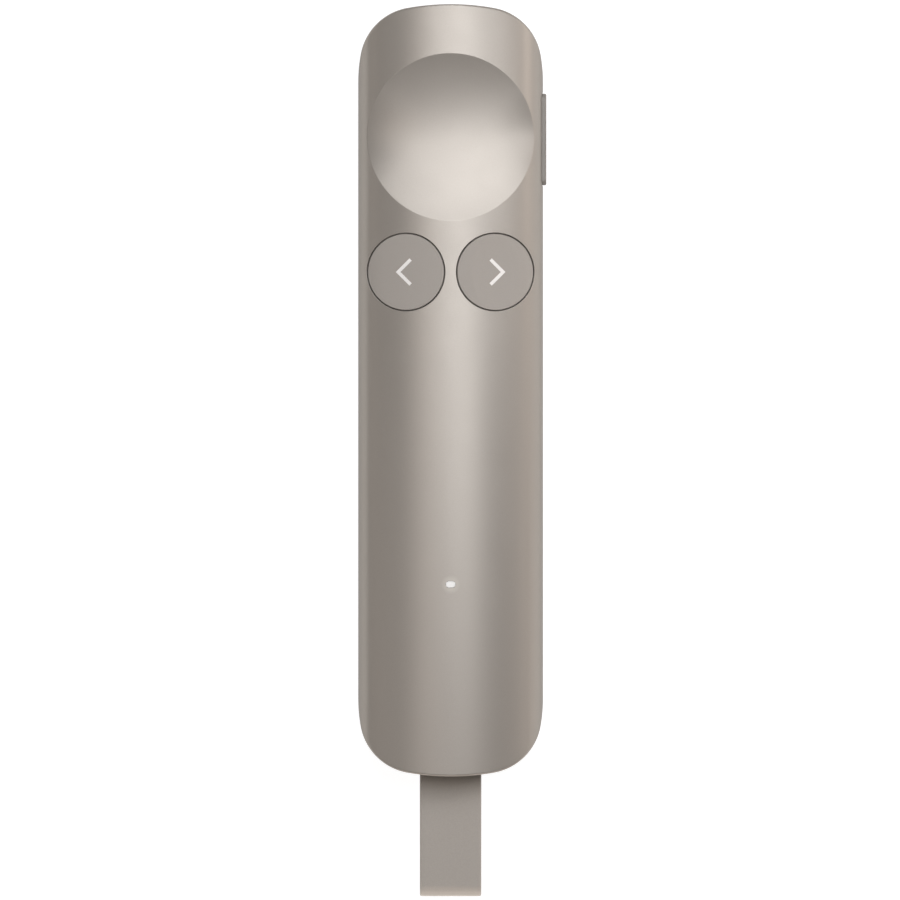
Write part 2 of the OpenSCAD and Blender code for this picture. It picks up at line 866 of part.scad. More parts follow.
module battery_cell() {
    z = wall + pad_t;
    color("#8d9095") {
        translate([0, battery_end - battery_step, z + battery_t / 2]) rotate([90, 0, 0])
            linear_extrude(battery_l - battery_step) round_rect(battery_w, battery_t, battery_round);
        // The narrower strip that seals the end and carries the leads
        translate([-battery_w / 2 + battery_round, battery_end - battery_step, z + battery_t / 4])
            cube([battery_w - 2 * battery_round, battery_step, battery_t / 2]);
    }
}

module battery_pad() {
    l = battery_l - 2 * battery_round;
    w = battery_w - 3 * battery_round;
    color("black")
        translate([-w / 2, battery_start + battery_round, wall]) cube([w, l, pad_t]);
}

module battery_leads() {
    for (s = [-1, 1])
        color(s > 0 ? "red" : "black")
            translate([s * lead_pitch / 2, battery_end, lead_z]) rotate([-90, 0, 0])
                cylinder(r = lead_r, h = lead_l);
}

module battery_plug() {
    bottom = lead_z - lead_r - can_wall;
    color(white)
        translate([-header_size[0] / 2 + can_wall, battery_end + lead_l, bottom])
            cube([
                header_size[0] - 2 * can_wall,
                plug_block_l,
                board_z - header_size[2] - bottom
            ]);
}

module battery_header() {
    color(dark)
        chip(
            [0, battery_end + lead_l + header_size[1] / 2], header_size, board_z - header_size[2]
        );
}

// The radio and the other electronics

module radio_shield_can() {
    color(steel)
        difference() {
            chip([0, can_y], [can_w, can_l, can_h], board_top);
            chip([0, can_y], [can_w - 2 * can_wall, can_l - 2 * can_wall, can_h - can_wall + over],
                board_top - over);
        }
}

module controller_chip() {
    color(dark) chip([-can_w / 8, can_y - can_l / 8], controller_size, board_top);
}

module controller_crystal() {
    y = can_y + can_l / 2 - can_wall - part_gap - crystal_size[1] / 2;
    color(steel) chip([can_w / 4, y], crystal_size, board_top);
}

module motion_sensor_chip() {
    color(dark) chip([0, dish_y - dish_r / 2], sensor_size, board_top);
}

module power_chip() {
    color(dark)
        chip([-can_w / 2 - part_gap - power_size[0] / 2, can_y], power_size, board_top);
}

module board_passives() {
    start = [can_w / 2 + part_gap + passive_size[0] / 2, can_y - (passive_rows - 1) * passive_step / 2];
    color("tan")
        for (i = [0:passive_columns - 1])
            for (j = [0:passive_rows - 1])
                chip(start + [i, j] * passive_step, passive_size, board_top);
}

module antenna_chip() {
    color(white) chip([0, board_end - antenna_size[1]], antenna_size, board_top);
}

module haptic_motor() {
    color(steel)
        translate([0, motor_y, board_top + pad_t]) cylinder(r = motor_r, h = motor_t);
}

module haptic_pad() {
    color("black")
        translate([0, motor_y, board_top]) cylinder(r = motor_r - 2 * pad_t, h = pad_t);
}

module port_shell() {
    color(steel)
        difference() {
            along_dock(bay_y, port_back) stadium(port_w, port_h);
            along_dock(bay_y - over, port_back - port_wall)
                stadium(port_w - 2 * port_wall, port_h - 2 * port_wall);
        }
}

module port_tongue() {
    color(dark)
        along_dock(port_back - port_wall - tongue_l, port_back - port_wall)
            square([tongue_w, tongue_t], center = true);
}

// The receiver and its tab

module receiver_housing() {
    slot_l = anchor_in + tab_r + dock_gap;
    slot_h = 2 * (tab_r + anchor_fit + dock_gap / 2);
    flare = anchor_in * tan(tab_swing) + tab_r * (1 / cos(tab_swing) - 1);
    cavity_start = tab_y + slot_l + rx_wall / 2;
    cavity_end = rx_end_y - rx_wall;
    color(dark)
        difference() {
            // Its end face follows the arc of the body's end
            intersection() {
                along_dock(tab_y, rx_end_y) round_rect(rx_w, rx_t, rx_round);
                linear_extrude(body_t) outline(rx_recess);
            }
            // Slot for the tab, flared so that the tab can swing
            translate([-tab_w / 2 - dock_gap / 2, anchor_y, rx_z]) rotate([90, 0, 90])
                linear_extrude(tab_w + dock_gap) {
                    translate([0, -slot_h / 2]) square([slot_l - anchor_in, slot_h]);
                    polygon([
                        [0, -slot_h / 2], [0, slot_h / 2],
                        [-anchor_in - over, slot_h / 2 + flare * (1 + over / anchor_in)],
                        [-anchor_in - over, -slot_h / 2 - flare * (1 + over / anchor_in)]
                    ]);
                }
            // Room for the board and the root of the plug
            along_dock(cavity_start, cavity_end)
                square([rx_w - 2 * rx_wall, rx_t - 2 * rx_wall], center = true);
            along_dock(cavity_start, rx_end_y + over) stadium(plug_w, plug_h);
            translate([-rx_w / 2 + rx_wall / 2, anchor_y, rx_z]) rotate([0, 90, 0])
                cylinder(r = anchor_r + fit / 5, h = rx_w - rx_wall);
        }
}

module receiver_plug_shell() {
    color(steel)
        along_dock(plug_root, rx_end_y + plug_l)
            difference() {
                stadium(plug_w, plug_h);
                stadium(plug_w - 2 * plug_wall, plug_h - 2 * plug_wall);
            }
}

module receiver_plug_insulator() {
    slot_w = tongue_w + 2 * dock_gap;
    slot_h = tongue_t + 2 * dock_gap;
    color(dark)
        difference() {
            along_dock(plug_root, rx_end_y + plug_l - plug_wall)
                stadium(plug_w - 2 * plug_wall, plug_h - 2 * plug_wall);
            along_dock(rx_end_y, rx_end_y + plug_l + over) square([slot_w, slot_h], center = true);
        }
}

module receiver_board() {
    color(board_green)
        translate([-rx_w / 2 + rx_wall, rx_board_start, rx_z - rx_board_t / 2])
            cube([rx_w - 2 * rx_wall, plug_root - rx_board_start, rx_board_t]);
}

module receiver_chip() {
    s = (plug_root - rx_board_start) - 2 * rx_board_t;
    color(dark)
        chip([0, (plug_root + rx_board_start) / 2], [s, s, rx_chip_h], rx_z + rx_board_t / 2);
}

module tab_anchor_pin() {
    color(steel)
        translate([-rx_w / 2 + rx_wall / 2, anchor_y, rx_z]) rotate([0, 90, 0])
            cylinder(r = anchor_r, h = rx_w - rx_wall);
}

module pull_tab() {
    l = anchor_y - tab_fold_y;
    color(silicone)
        translate([-tab_w / 2, (anchor_y + tab_fold_y) / 2, rx_z]) rotate([90, 0, 90])
            linear_extrude(tab_w)
                difference() {
                    stadium(l + 2 * tab_r, 2 * tab_r);
                    stadium(l + 2 * loop_r, 2 * loop_r);
                }
}

top_shell();
back_shell();
chassis();
chassis_screws();
main_board();
prev_button();
prev_chevron();
next_button();
next_chevron();
side_button();
prev_switch_base();
prev_switch_dome();
prev_switch_plunger();
next_switch_base();
next_switch_dome();
next_switch_plunger();
side_switch_base();
side_switch_dome();
side_switch_plunger();
status_light_pipe();
status_led();
battery_cell();
battery_pad();
battery_leads();
battery_plug();
battery_header();
radio_shield_can();
controller_chip();
controller_crystal();
motion_sensor_chip();
power_chip();
board_passives();
antenna_chip();
haptic_motor();
haptic_pad();
port_shell();
port_tongue();
receiver_housing();
receiver_plug_shell();
receiver_plug_insulator();
receiver_board();
receiver_chip();
tab_anchor_pin();
pull_tab();
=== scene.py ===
import math

import bpy
import numpy as np
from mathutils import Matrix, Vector
from mathutils.geometry import delaunay_2d_cdt


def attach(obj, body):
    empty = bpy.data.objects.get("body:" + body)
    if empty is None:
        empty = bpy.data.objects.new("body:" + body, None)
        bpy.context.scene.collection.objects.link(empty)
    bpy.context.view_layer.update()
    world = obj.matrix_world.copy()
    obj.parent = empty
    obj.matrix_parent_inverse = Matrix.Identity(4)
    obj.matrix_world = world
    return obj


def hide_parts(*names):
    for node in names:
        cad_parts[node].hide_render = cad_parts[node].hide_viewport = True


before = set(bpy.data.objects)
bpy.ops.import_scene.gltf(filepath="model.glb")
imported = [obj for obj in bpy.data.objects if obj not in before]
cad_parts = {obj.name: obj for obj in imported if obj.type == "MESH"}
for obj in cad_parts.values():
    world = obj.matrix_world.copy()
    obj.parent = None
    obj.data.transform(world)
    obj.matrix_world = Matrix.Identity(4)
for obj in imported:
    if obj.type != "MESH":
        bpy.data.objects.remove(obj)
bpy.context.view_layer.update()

bpy.context.scene.view_settings.view_transform = "Standard"

# Camera, looking straight down, with the pull tab towards the lower edge of the picture
PICTURE_SPAN = 0.1485
PICTURE_X, PICTURE_Y = -0.0001, -0.00984
SIDE_HEIGHT = 0.0054
camera_data = bpy.data.cameras.new("camera")
camera_data.lens = 1500
camera_data.clip_end = 20
camera = bpy.data.objects.new("camera", camera_data)
camera.location = (
    PICTURE_X, PICTURE_Y,
    SIDE_HEIGHT + PICTURE_SPAN / 2 * camera_data.lens / (camera_data.sensor_width / 2),
)
bpy.context.scene.collection.objects.link(camera)
bpy.context.scene.camera = camera

# Sizes in millimetres, from the CAD part. Blends, fillets, gaps, the bar's belly, a cap's foot and
# flange, and the depths of walls that don't show can differ from it
HALF_W, HALF_L, TOP = 15.25, 63.65, 13.2
CROWN_R, SHOULDER_R, SHOULDER_X, SHOULDER_BLEND = 30.0, 5.5, 9.75, 1.3
SHOULDER_START = CROWN_R * SHOULDER_X / (CROWN_R - SHOULDER_R)
CORNER_R, SIDE_DRAW, SIDE_ARC_R, END_ARC_R = 9.47, 0.26, 26.2, 41.4
SIDE_BASE_R, END_BASE_R, EDGE_FILLET = 5.0, 3.0, 0.35
SEAM_Z, SEAM_GAP, LEDGE_INSETS = 2.8, 0.04, (0.05, 1.2)
DISH_Y, DISH_R, DISH_DEPTH, RIM_SOFTNESS = 41.75, 13.8, 2.2, 0.08
CAPS_Y, CAP_X, CAP_R, CAP_GAP, CAP_LOW = 19.5, 7.37, 6.26, 0.2, 8.95
CAP_FILLET, CAP_FLANGE, FLANGE_DEPTH, FLANGE_END, SCOOP_DEPTH = 0.09, 0.15, 1.1, 1.6, 0.25
HOLE_FILLET, HOLE_DEPTH = 0.08, 1.5
CHEVRON_SHIFT, CHEVRON_REACH, CHEVRON_STROKE, CHEVRON_DEPTH = 0.35, 2.25, 0.55, 0.35
WINDOW_Y, WINDOW_L, WINDOW_W, WINDOW_GAP, WINDOW_DEPTH = -32.0, 1.6, 1.05, 0.05, 1.2
PIPE_FILLET, PIPE_DEPTH = 0.1, 2.1
BAR_Y, BAR_Z, BAR_L, BAR_H, BAR_OUT, BAR_GAP = 41.4, 5.34, 15.1, 3.0, 15.8, 0.2
BAR_CORNER, BAR_FILLET, BAR_BELLY, BAR_IN, SLOT_IN = 0.95, 0.22, 0.06, 12.7, 13.75
DOCK_Z, DOCK_W, DOCK_H, DOCK_CORNER, MOUTH_DEPTH = 5.4, 12.8, 6.8, 1.4, 1.62
PIN_Y, FOLD_Y, TAB_W, TAB_R, BAND_T, BAND_CORNER = -61.45, -81.55, 10.15, 1.9, 1.1, 0.32

# Steps away from an edge in millimetres, where the points of a rounded edge lie
BAND = 0, 0.012, 0.05, 0.11, 0.18, 0.26, 0.35, 0.5, 0.7, 0.95, 1.2
HOLE_STEPS = 0, 0.01, 0.03, 0.055, 0.08
CAP_STEPS = 0, 0.01, 0.03, 0.06, 0.09
BAR_STEPS = 0, 0.015, 0.05, 0.1, 0.15, 0.22
PIPE_STEPS = 0, 0.01, 0.03, 0.06, 0.1

# Numbers of points, steps along loops, and where the patches round the slot and the mouth end
CAP_POINTS, DISH_POINTS, CORNER_POINTS, PROFILE_POINTS = 150, 420, 10, 1500
SIDE_ARC_POINTS, CORNER_ARC_POINTS, END_ARC_POINTS = 6, 34, 14
FOLD_POINTS, RUN_POINTS = 41, 34
LOOP_STEP, CHEVRON_STEP = 0.25, 0.22
SLOT_FROM_Y, SLOT_TO_Y = 31, 50
MOUTH_PATCH_X, MOUTH_GRID_X, MOUTH_CLEAR = 7.17, 7.2, 0.1
# The wall's last row over the mouth, the back's first row under it, and the back's number of rows
WALL_CUT, BACK_CUT, BACK_ROWS = 2, 4, 12

TINY = 1e-9
DOWN = 0, 0, -1


# Meshes

class Patchwork:
    """Collects patches of points in millimetres with a normal each, and makes one mesh of them."""

    def __init__(self):
        self.points, self.normals, self.faces, self.count = [], [], [], 0

    def add(self, points, normals, faces):
        normals = np.asarray(normals, float)
        length = np.linalg.norm(normals, axis=1, keepdims=True)
        self.points.append(np.asarray(points, float))
        self.normals.append(normals / np.maximum(length, TINY))
        self.faces.extend([tuple(int(i) + self.count for i in f) for f in faces])
        self.count += len(points)

    def object(self, name, body, material, replaces):
        points = np.concatenate(self.points) / 1000
        normals = np.concatenate(self.normals)
        faces = []
        for f in self.faces:
            a, b, c = points[f[0]], points[f[1]], points[f[2]]
            agree = np.cross(b - a, c - a) @ (normals[f[0]] + normals[f[1]] + normals[f[2]])
            faces.append(f if agree >= 0 else f[::-1])
        mesh = bpy.data.meshes.new(name)
        mesh.from_pydata(points.tolist(), [], faces)
        mesh.polygons.foreach_set("use_smooth", [True] * len(mesh.polygons))
        mesh.normals_split_custom_set_from_vertices(normals.tolist())
        mesh.materials.append(material)
        piece = bpy.data.objects.new(name, mesh)
        bpy.context.scene.collection.objects.link(piece)
        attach(piece, body)
        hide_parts(*replaces)


def strip(points, normals, closed=False):
    """Quads between rows of points, as (points, normals, faces)."""
    rows, columns = points.shape[:2]
    last = columns if closed else columns - 1
    faces = [
        (r * columns + c, r * columns + (c + 1) % columns,
         (r + 1) * columns + (c + 1) % columns, (r + 1) * columns + c)
        for r in range(rows - 1) for c in range(last)
    ]
    return points.reshape(-1, 3), normals.reshape(-1, 3), faces


def wall_between(first, second, normals):
    """Quads between two closed loops of points that share their normals."""
    return strip(np.array([first, second]), np.array([normals, normals]), closed=True)


def inside(loop, points):
    """Which 2D points lie in a closed loop."""
    x, y = points[:, 0][:, None], points[:, 1][:, None]
    ax, ay = loop[:, 0][None], loop[:, 1][None]
    bx, by = np.roll(loop[:, 0], -1)[None], np.roll(loop[:, 1], -1)[None]
    crosses = (ay > y) != (by > y)
    with np.errstate(divide="ignore", invalid="ignore"):
        at = ax + (y - ay) / (by - ay) * (bx - ax)
    return (crosses & (x < at)).sum(1) % 2 == 1


def distance_to(loop, points):
    """Distance of 2D points to the nearest vertex of a loop."""
    best = np.full(len(points), np.inf)
    for start in range(0, len(loop), 64):
        d = points[:, None, :] - loop[None, start:start + 64, :]
        best = np.minimum(best, np.sqrt((d ** 2).sum(2)).min(1))
    return best


def grid(low, high, step):
    """A staggered grid of points over a rectangle."""
    rows = np.arange(low[1], high[1], step * 0.866)
    made = []
    for i, y in enumerate(rows):
        x = np.arange(low[0] + (i % 2) * step / 2, high[0], step)
        made.append(np.stack([x, np.full(len(x), y)], 1))
    return np.concatenate(made)


def fill(outer, holes=(), loops=(), spare=None, clear=0):
    """Triangulates a 2D region between an outer loop and holes, through more loops and spare points."""
    every = [outer, *holes, *loops]
    points = [*every]
    if spare is not None:
        keep = inside(outer, spare)
        for h in holes:
            keep &= ~inside(h, spare)
        for e in every:
            keep &= distance_to(e, spare) > clear
        points.append(spare[keep])
    points = np.concatenate(points)
    edges, start = [], 0
    for e in every:
        edges += [(start + i, start + (i + 1) % len(e)) for i in range(len(e))]
        start += len(e)
    out = delaunay_2d_cdt([tuple(p) for p in points], edges, [], 0, 1e-6)
    flat = np.array([tuple(v) for v in out[0]])
    triangles = np.array([tuple(f) for f in out[2]])
    middle = flat[triangles].mean(1)
    keep = inside(outer, middle)
    for h in holes:
        keep &= ~inside(h, middle)
    return flat, triangles[keep]


def circle(x, y, r, n):
    a = np.linspace(0, 2 * math.pi, n, endpoint=False)
    return np.stack([x + r * np.cos(a), y + r * np.sin(a)], 1)


def rounded_loop(w, h, r, step, corner):
    """A closed loop round a rectangle with round corners, centred on the origin, counter-clockwise."""
    centres = np.array([(1, -1), (1, 1), (-1, 1), (-1, -1)]) * [w / 2 - r, h / 2 - r]
    made = []
    for k in range(4):
        a = np.radians(np.linspace(-90 + 90 * k, 90 * k, corner + 1))
        turn = centres[k] + r * np.stack([np.cos(a), np.sin(a)], 1)
        run = centres[(k + 1) % 4] - centres[k]
        pieces = max(1, int(np.linalg.norm(run) / step))
        made += [turn, turn[-1] + run * np.linspace(0, 1, pieces + 1)[1:-1, None]]
    loop = np.concatenate(made)
    keep = np.linalg.norm(loop - np.roll(loop, 1, axis=0), axis=1) > 1e-5
    return loop[keep]


def loop_normals(loop):
    """Outward unit normals of a counter-clockwise loop."""
    along = np.roll(loop, -1, axis=0) - np.roll(loop, 1, axis=0)
    along /= np.linalg.norm(along, axis=1, keepdims=True)
    return np.stack([along[:, 1], -along[:, 0]], 1)


def drop(d, r):
    """How far a rounded edge of radius r has fallen at a distance d from the wall."""
    reach = np.clip(r - d, 0, r)
    return r - np.sqrt(np.maximum(r * r - reach * reach, 0))


def drop_slope(d, r):
    reach = np.clip(r - d, 0, r)
    return -reach / np.sqrt(np.maximum(r * r - reach * reach, 1e-12))


# The skin

def lean(x):
    """Sine of the skin's tilt, where the crown passes softly into its shoulders."""
    far = np.abs(x)
    share = np.clip((far - SHOULDER_START) / SHOULDER_BLEND / 2 + 0.5, 0, 1)
    bend = np.where(share < 1, SHOULDER_BLEND * share ** 2, far - SHOULDER_START)
    return np.minimum(far / CROWN_R + (1 / SHOULDER_R - 1 / CROWN_R) * bend, 1)


def skin_slope(x):
    """Slope of the crown and its shoulders across the body."""
    tilt = lean(x)
    return -np.sign(x) * tilt / np.sqrt(np.maximum(1 - tilt ** 2, 1e-12))


def blend_heights():
    """Heights of the skin over the soft passage between crown and shoulder."""
    x = np.linspace(SHOULDER_START - SHOULDER_BLEND, SHOULDER_START + SHOULDER_BLEND, 800)
    slope = skin_slope(x)
    fall = np.concatenate([[0], np.cumsum((slope[1:] + slope[:-1]) / 2 * np.diff(x))])
    return x, TOP - CROWN_R + math.sqrt(CROWN_R ** 2 - x[0] ** 2) + fall


BLEND_X, BLEND_Z = blend_heights()
SHOULDER_LOW = BLEND_Z[-1] - math.sqrt(SHOULDER_R ** 2 - (BLEND_X[-1] - SHOULDER_X) ** 2)


def skin(x):
    """Height of the crown and its shoulders."""
    x = np.abs(x)
    crown = TOP - CROWN_R + np.sqrt(CROWN_R ** 2 - np.minimum(x, SHOULDER_START) ** 2)
    out = np.maximum(x - SHOULDER_X, 0)
    shoulder = SHOULDER_LOW + np.sqrt(np.maximum(SHOULDER_R ** 2 - out ** 2, 0))
    blend = np.interp(x, BLEND_X, BLEND_Z)
    return np.where(x <= BLEND_X[0], crown, np.where(x >= BLEND_X[-1], shoulder, blend))


def dish_floor(x, y):
    """Height of the dish, a smooth saddle whose floor reaches the skin all round its rim."""
    y = y - DISH_Y
    r = np.sqrt(x * x + y * y)
    reach = DISH_R * np.abs(x) / np.maximum(r, 1e-6)
    arc = TOP - CROWN_R + np.sqrt(CROWN_R ** 2 - reach ** 2)
    share = r / DISH_R
    floor = TOP - DISH_DEPTH
    return floor + (arc - floor) * share ** 2 + (skin(reach) - arc) * share ** 4


def dish_normals(x, y):
    h = 1e-3
    gx = (dish_floor(x + h, y) - dish_floor(x - h, y)) / (2 * h)
    gy = (dish_floor(x, y + h) - dish_floor(x, y - h)) / (2 * h)
    return np.stack([-gx, -gy, np.ones_like(gx)], 1)


def unit(v):
    return v / np.maximum(np.linalg.norm(v, axis=1, keepdims=True), TINY)


def top_face(x, y):
    """Heights and normals of the top face, with the dish let in."""
    r = np.hypot(x, y - DISH_Y)
    crown = unit(np.stack([-skin_slope(x), np.zeros_like(x), np.ones_like(x)], 1))
    dish = unit(dish_normals(x, y))
    share = np.clip((r - DISH_R) / RIM_SOFTNESS * 0.5 + 0.5, 0, 1)[:, None]
    z = np.where(r < DISH_R, dish_floor(x, y), skin(x))
    return z, unit(crown * share + dish * (1 - share))


def outline():
    """Points and outward normals of the body from above, counter-clockwise from the right side."""
    corner_x = HALF_W - CORNER_R - SIDE_DRAW
    corner_y = HALF_L - END_ARC_R + math.sqrt((END_ARC_R - CORNER_R) ** 2 - corner_x ** 2)
    side_angle = math.acos(1 - SIDE_DRAW / (SIDE_ARC_R - CORNER_R))
    side_y = corner_y - (SIDE_ARC_R - CORNER_R) * math.sin(side_angle)
    end_angle = math.asin(corner_x / (END_ARC_R - CORNER_R))

    def arc(cx, cy, r, a, b, n):
        t = np.linspace(a, b, n, endpoint=False)
        return np.stack([cx + r * np.cos(t), cy + r * np.sin(t), np.cos(t), np.sin(t)], 1)

    straight = np.arange(0, int(side_y) + 1, 1.0)
    quarter = np.concatenate([
        np.stack([np.full(len(straight), HALF_W), straight,
                  np.ones(len(straight)), np.zeros(len(straight))], 1),
        arc(HALF_W - SIDE_ARC_R, side_y, SIDE_ARC_R, 0, side_angle, SIDE_ARC_POINTS),
        arc(corner_x, corner_y, CORNER_R, side_angle, math.pi / 2 - end_angle, CORNER_ARC_POINTS),
        arc(0, HALF_L - END_ARC_R, END_ARC_R, math.pi / 2 - end_angle, math.pi / 2, END_ARC_POINTS),
        [[0, HALF_L, 0, 1]],
    ])
    left = quarter[::-1] * [-1, 1, -1, 1]
    upper = np.concatenate([quarter, left[1:]])
    lower = (upper[::-1] * [1, -1, 1, -1])[1:-1]
    return np.concatenate([upper, lower])


OUTLINE = outline()
COUNT = len(OUTLINE)
NEAR_END = OUTLINE[:, 1] < 0
MOUTH_COLUMNS = np.where(NEAR_END & (np.abs(OUTLINE[:, 0]) < MOUTH_PATCH_X))[0]
MOUTH_X = OUTLINE[MOUTH_COLUMNS, 0]
MOUTH = rounded_loop(DOCK_W, DOCK_H, DOCK_CORNER, LOOP_STEP, CORNER_POINTS) + [0, DOCK_Z]
BASE_R = END_BASE_R + (SIDE_BASE_R - END_BASE_R) * OUTLINE[:, 2] ** 2
EDGE_Z = skin(OUTLINE[:, 0]) - EDGE_FILLET


def band_rows():
    """Rows of the skin near the edge, from the fillet inwards."""
    rows, normals = [], []
    for d in BAND:
        x = OUTLINE[:, 0] - OUTLINE[:, 2] * d
        y = OUTLINE[:, 1] - OUTLINE[:, 3] * d
        z = skin(x) - drop(d, EDGE_FILLET)
        fall = drop_slope(d, EDGE_FILLET)
        gx = skin_slope(x) + fall * OUTLINE[:, 2]
        gy = fall * OUTLINE[:, 3]
        rows.append(np.stack([x, y, z], 1))
        normals.append(unit(np.stack([-gx, -gy, np.ones(COUNT)], 1)))
    return np.array(rows), np.array(normals)


def wall_ring(z):
    """Positions and normals of the side wall all round, at a height for each point of the outline."""
    s = np.clip((BASE_R - z) / BASE_R, 0, 1)
    c = np.sqrt(np.maximum(1 - s * s, 0))
    d = BASE_R - BASE_R * c
    o = OUTLINE
    place = np.stack([o[:, 0] - o[:, 2] * d, o[:, 1] - o[:, 3] * d, z], 1)
    return place, np.stack([o[:, 2] * c, o[:, 3] * c, -s], 1)


def wall_rows(shares_above, steps_below, bottom):
    """Rows of the wall from the top edge down to a height."""
    heights = [BASE_R + (EDGE_Z - BASE_R) * s for s in shares_above]
    heights += [BASE_R + (bottom - BASE_R) * k / steps_below for k in range(1, steps_below + 1)]
    made = [wall_ring(z) for z in heights]
    return np.array([m[0] for m in made]), np.array([m[1] for m in made])


def near_edge(flat, loop):
    """How far each 2D point is from a loop's nearest vertex, and which vertex that is."""
    far = np.sqrt(((flat[:, None] - loop[None]) ** 2).sum(2))
    nearest = far.argmin(1)
    return far[np.arange(len(flat)), nearest], nearest


def round_edge(place, normal, away, distance, radius, near=None):
    """Rounds a patch's edge in place, where away points into the patch in 3D."""
    if near is None:
        near = distance < radius
    fallen = drop(distance[near], radius)[:, None]
    tilt = np.clip(1 - distance[near] / radius, 0, 1)[:, None]
    upright = np.sqrt(np.maximum(1 - tilt ** 2, 0))
    place[near] -= normal[near] * fallen
    normal[near] = unit(normal[near] * upright - away[near] * tilt)


def all_facing(direction, count):
    """The same normal for a number of points."""
    return np.tile(np.array(direction, float), (count, 1))


def right_side_profile():
    """The cross-section of the straight right side, from the band's inner row down to the seam."""
    inset = np.linspace(BAND[-1], 0, PROFILE_POINTS)
    x = HALF_W - inset
    z = skin(x) - drop(inset, EDGE_FILLET)
    g = skin_slope(x) + drop_slope(inset, EDGE_FILLET)
    n = unit(np.stack([-g, np.ones_like(g)], 1))
    z2 = np.linspace(z[-1], SEAM_Z + SEAM_GAP, PROFILE_POINTS)[1:]
    s = np.clip((SIDE_BASE_R - z2) / SIDE_BASE_R, 0, 1)
    c = np.sqrt(1 - s * s)
    x = np.concatenate([x, HALF_W - SIDE_BASE_R + SIDE_BASE_R * c])
    z = np.concatenate([z, z2])
    n = np.concatenate([n, np.stack([c, -s], 1)])
    v = np.concatenate([[0], np.cumsum(np.hypot(np.diff(x), np.diff(z)))])
    return v, x, z, n


def mouth_half(z):
    """Half the width of the dock's mouth at a height in its lower corners."""
    rise = DOCK_Z - DOCK_H / 2 + DOCK_CORNER - z
    return DOCK_W / 2 - DOCK_CORNER + math.sqrt(DOCK_CORNER ** 2 - rise ** 2)


def on_side(flat, x):
    """Places 2D points round the side bar's middle, at a distance x from the body's middle plane."""
    return np.column_stack([np.full(len(flat), x), flat[:, 0] + BAR_Y, flat[:, 1] + BAR_Z])


def add_face(work, outer):
    """The top face inside the band, with the walls of the round holes and of the window."""
    hole_loops = [circle(s * CAP_X, CAPS_Y, CAP_R + CAP_GAP, CAP_POINTS) for s in (-1, 1)]
    window = [0, WINDOW_Y] + rounded_loop(
        WINDOW_L + 2 * WINDOW_GAP, WINDOW_W + 2 * WINDOW_GAP, WINDOW_W / 2 + WINDOW_GAP, 0.1, 12
    )
    rings = []
    for s in (-1, 1):
        for e in HOLE_STEPS[1:]:
            rings.append(circle(s * CAP_X, CAPS_Y, CAP_R + CAP_GAP + e, CAP_POINTS))
        rings.append(circle(s * CAP_X, CAPS_Y, CAP_R + CAP_GAP + 0.35, 120))
    for e in (-0.3, -RIM_SOFTNESS, 0, RIM_SOFTNESS):
        rings.append(circle(0, DISH_Y, DISH_R + e, DISH_POINTS))
    for e in (0.06, 0.2):
        rings.append(window + loop_normals(window) * e)
    flat, triangles = fill(
        outer, [*hole_loops, window], rings,
        grid((-HALF_W, -HALF_L), (HALF_W, HALF_L), 0.55), 0.22,
    )
    z, normal = top_face(flat[:, 0], flat[:, 1])
    place = np.column_stack([flat, z])
    for s in (-1, 1):
        away = flat - [s * CAP_X, CAPS_Y]
        r = np.hypot(*away.T)
        direction = np.column_stack([away / np.maximum(r, TINY)[:, None], np.zeros(len(r))])
        round_edge(place, normal, direction, np.maximum(r - CAP_R - CAP_GAP, 0), HOLE_FILLET)
    work.add(place, normal, triangles)
    walls = [(loop, HOLE_DEPTH, HOLE_FILLET) for loop in hole_loops]
    for loop, depth, fallen in [*walls, (window, WINDOW_DEPTH, 0)]:
        z = top_face(loop[:, 0], loop[:, 1])[0] - fallen
        inward = np.column_stack([-loop_normals(loop), np.zeros(len(loop))])
        work.add(*wall_between(np.column_stack([loop, z]), np.column_stack([loop, z - depth]), inward))


def add_slot(work, heights, ys):
    """The right side round the bar's slot, flattened to y and the way down, with the slot's wall."""
    v, px, pz, pn = right_side_profile()
    column_v = np.interp(-heights, -pz, v)[1:-1]
    total = v[-1]
    outer = np.concatenate([
        np.stack([ys, np.zeros(len(ys))], 1),
        np.stack([np.full(len(column_v), ys[-1]), column_v], 1),
        np.stack([ys[::-1], np.full(len(ys), total)], 1),
        np.stack([np.full(len(column_v), ys[0]), column_v[::-1]], 1),
    ])
    slot_w, slot_h = BAR_L + 2 * BAR_GAP, BAR_H + 2 * BAR_GAP
    slot_loop = rounded_loop(slot_w, slot_h, BAR_CORNER + BAR_GAP, LOOP_STEP, CORNER_POINTS)
    slot_out = loop_normals(slot_loop)

    def to_v(loop):
        return np.stack([loop[:, 0] + BAR_Y, np.interp(-(loop[:, 1] + BAR_Z), -pz, v)], 1)

    steps = [to_v(slot_loop + slot_out * e) for e in HOLE_STEPS]
    flat, triangles = fill(
        outer, [steps[0]], steps[1:], grid((SLOT_FROM_Y, 0), (SLOT_TO_Y, total), 0.45), 0.15
    )
    x, z, nx, nz = (np.interp(flat[:, 1], v, of) for of in (px, pz, pn[:, 0], pn[:, 1]))
    place = np.column_stack([x, flat[:, 0], z])
    normal = np.column_stack([nx, np.zeros(len(x)), nz])
    yz = np.stack([flat[:, 0] - BAR_Y, z - BAR_Z], 1)
    far, k = near_edge(yz, slot_loop)
    near = (far < HOLE_FILLET) & ~inside(slot_loop * 0.999, yz)
    direction = np.column_stack([np.zeros(len(k)), slot_out[k]])
    round_edge(place, normal, direction, far, HOLE_FILLET, near)
    work.add(place, normal, triangles)
    edge_x = np.interp(steps[0][:, 1], v, px) - HOLE_FILLET
    inward = np.column_stack([np.zeros(len(slot_loop)), -slot_out])
    work.add(*wall_between(on_side(slot_loop, edge_x), on_side(slot_loop, SLOT_IN), inward))


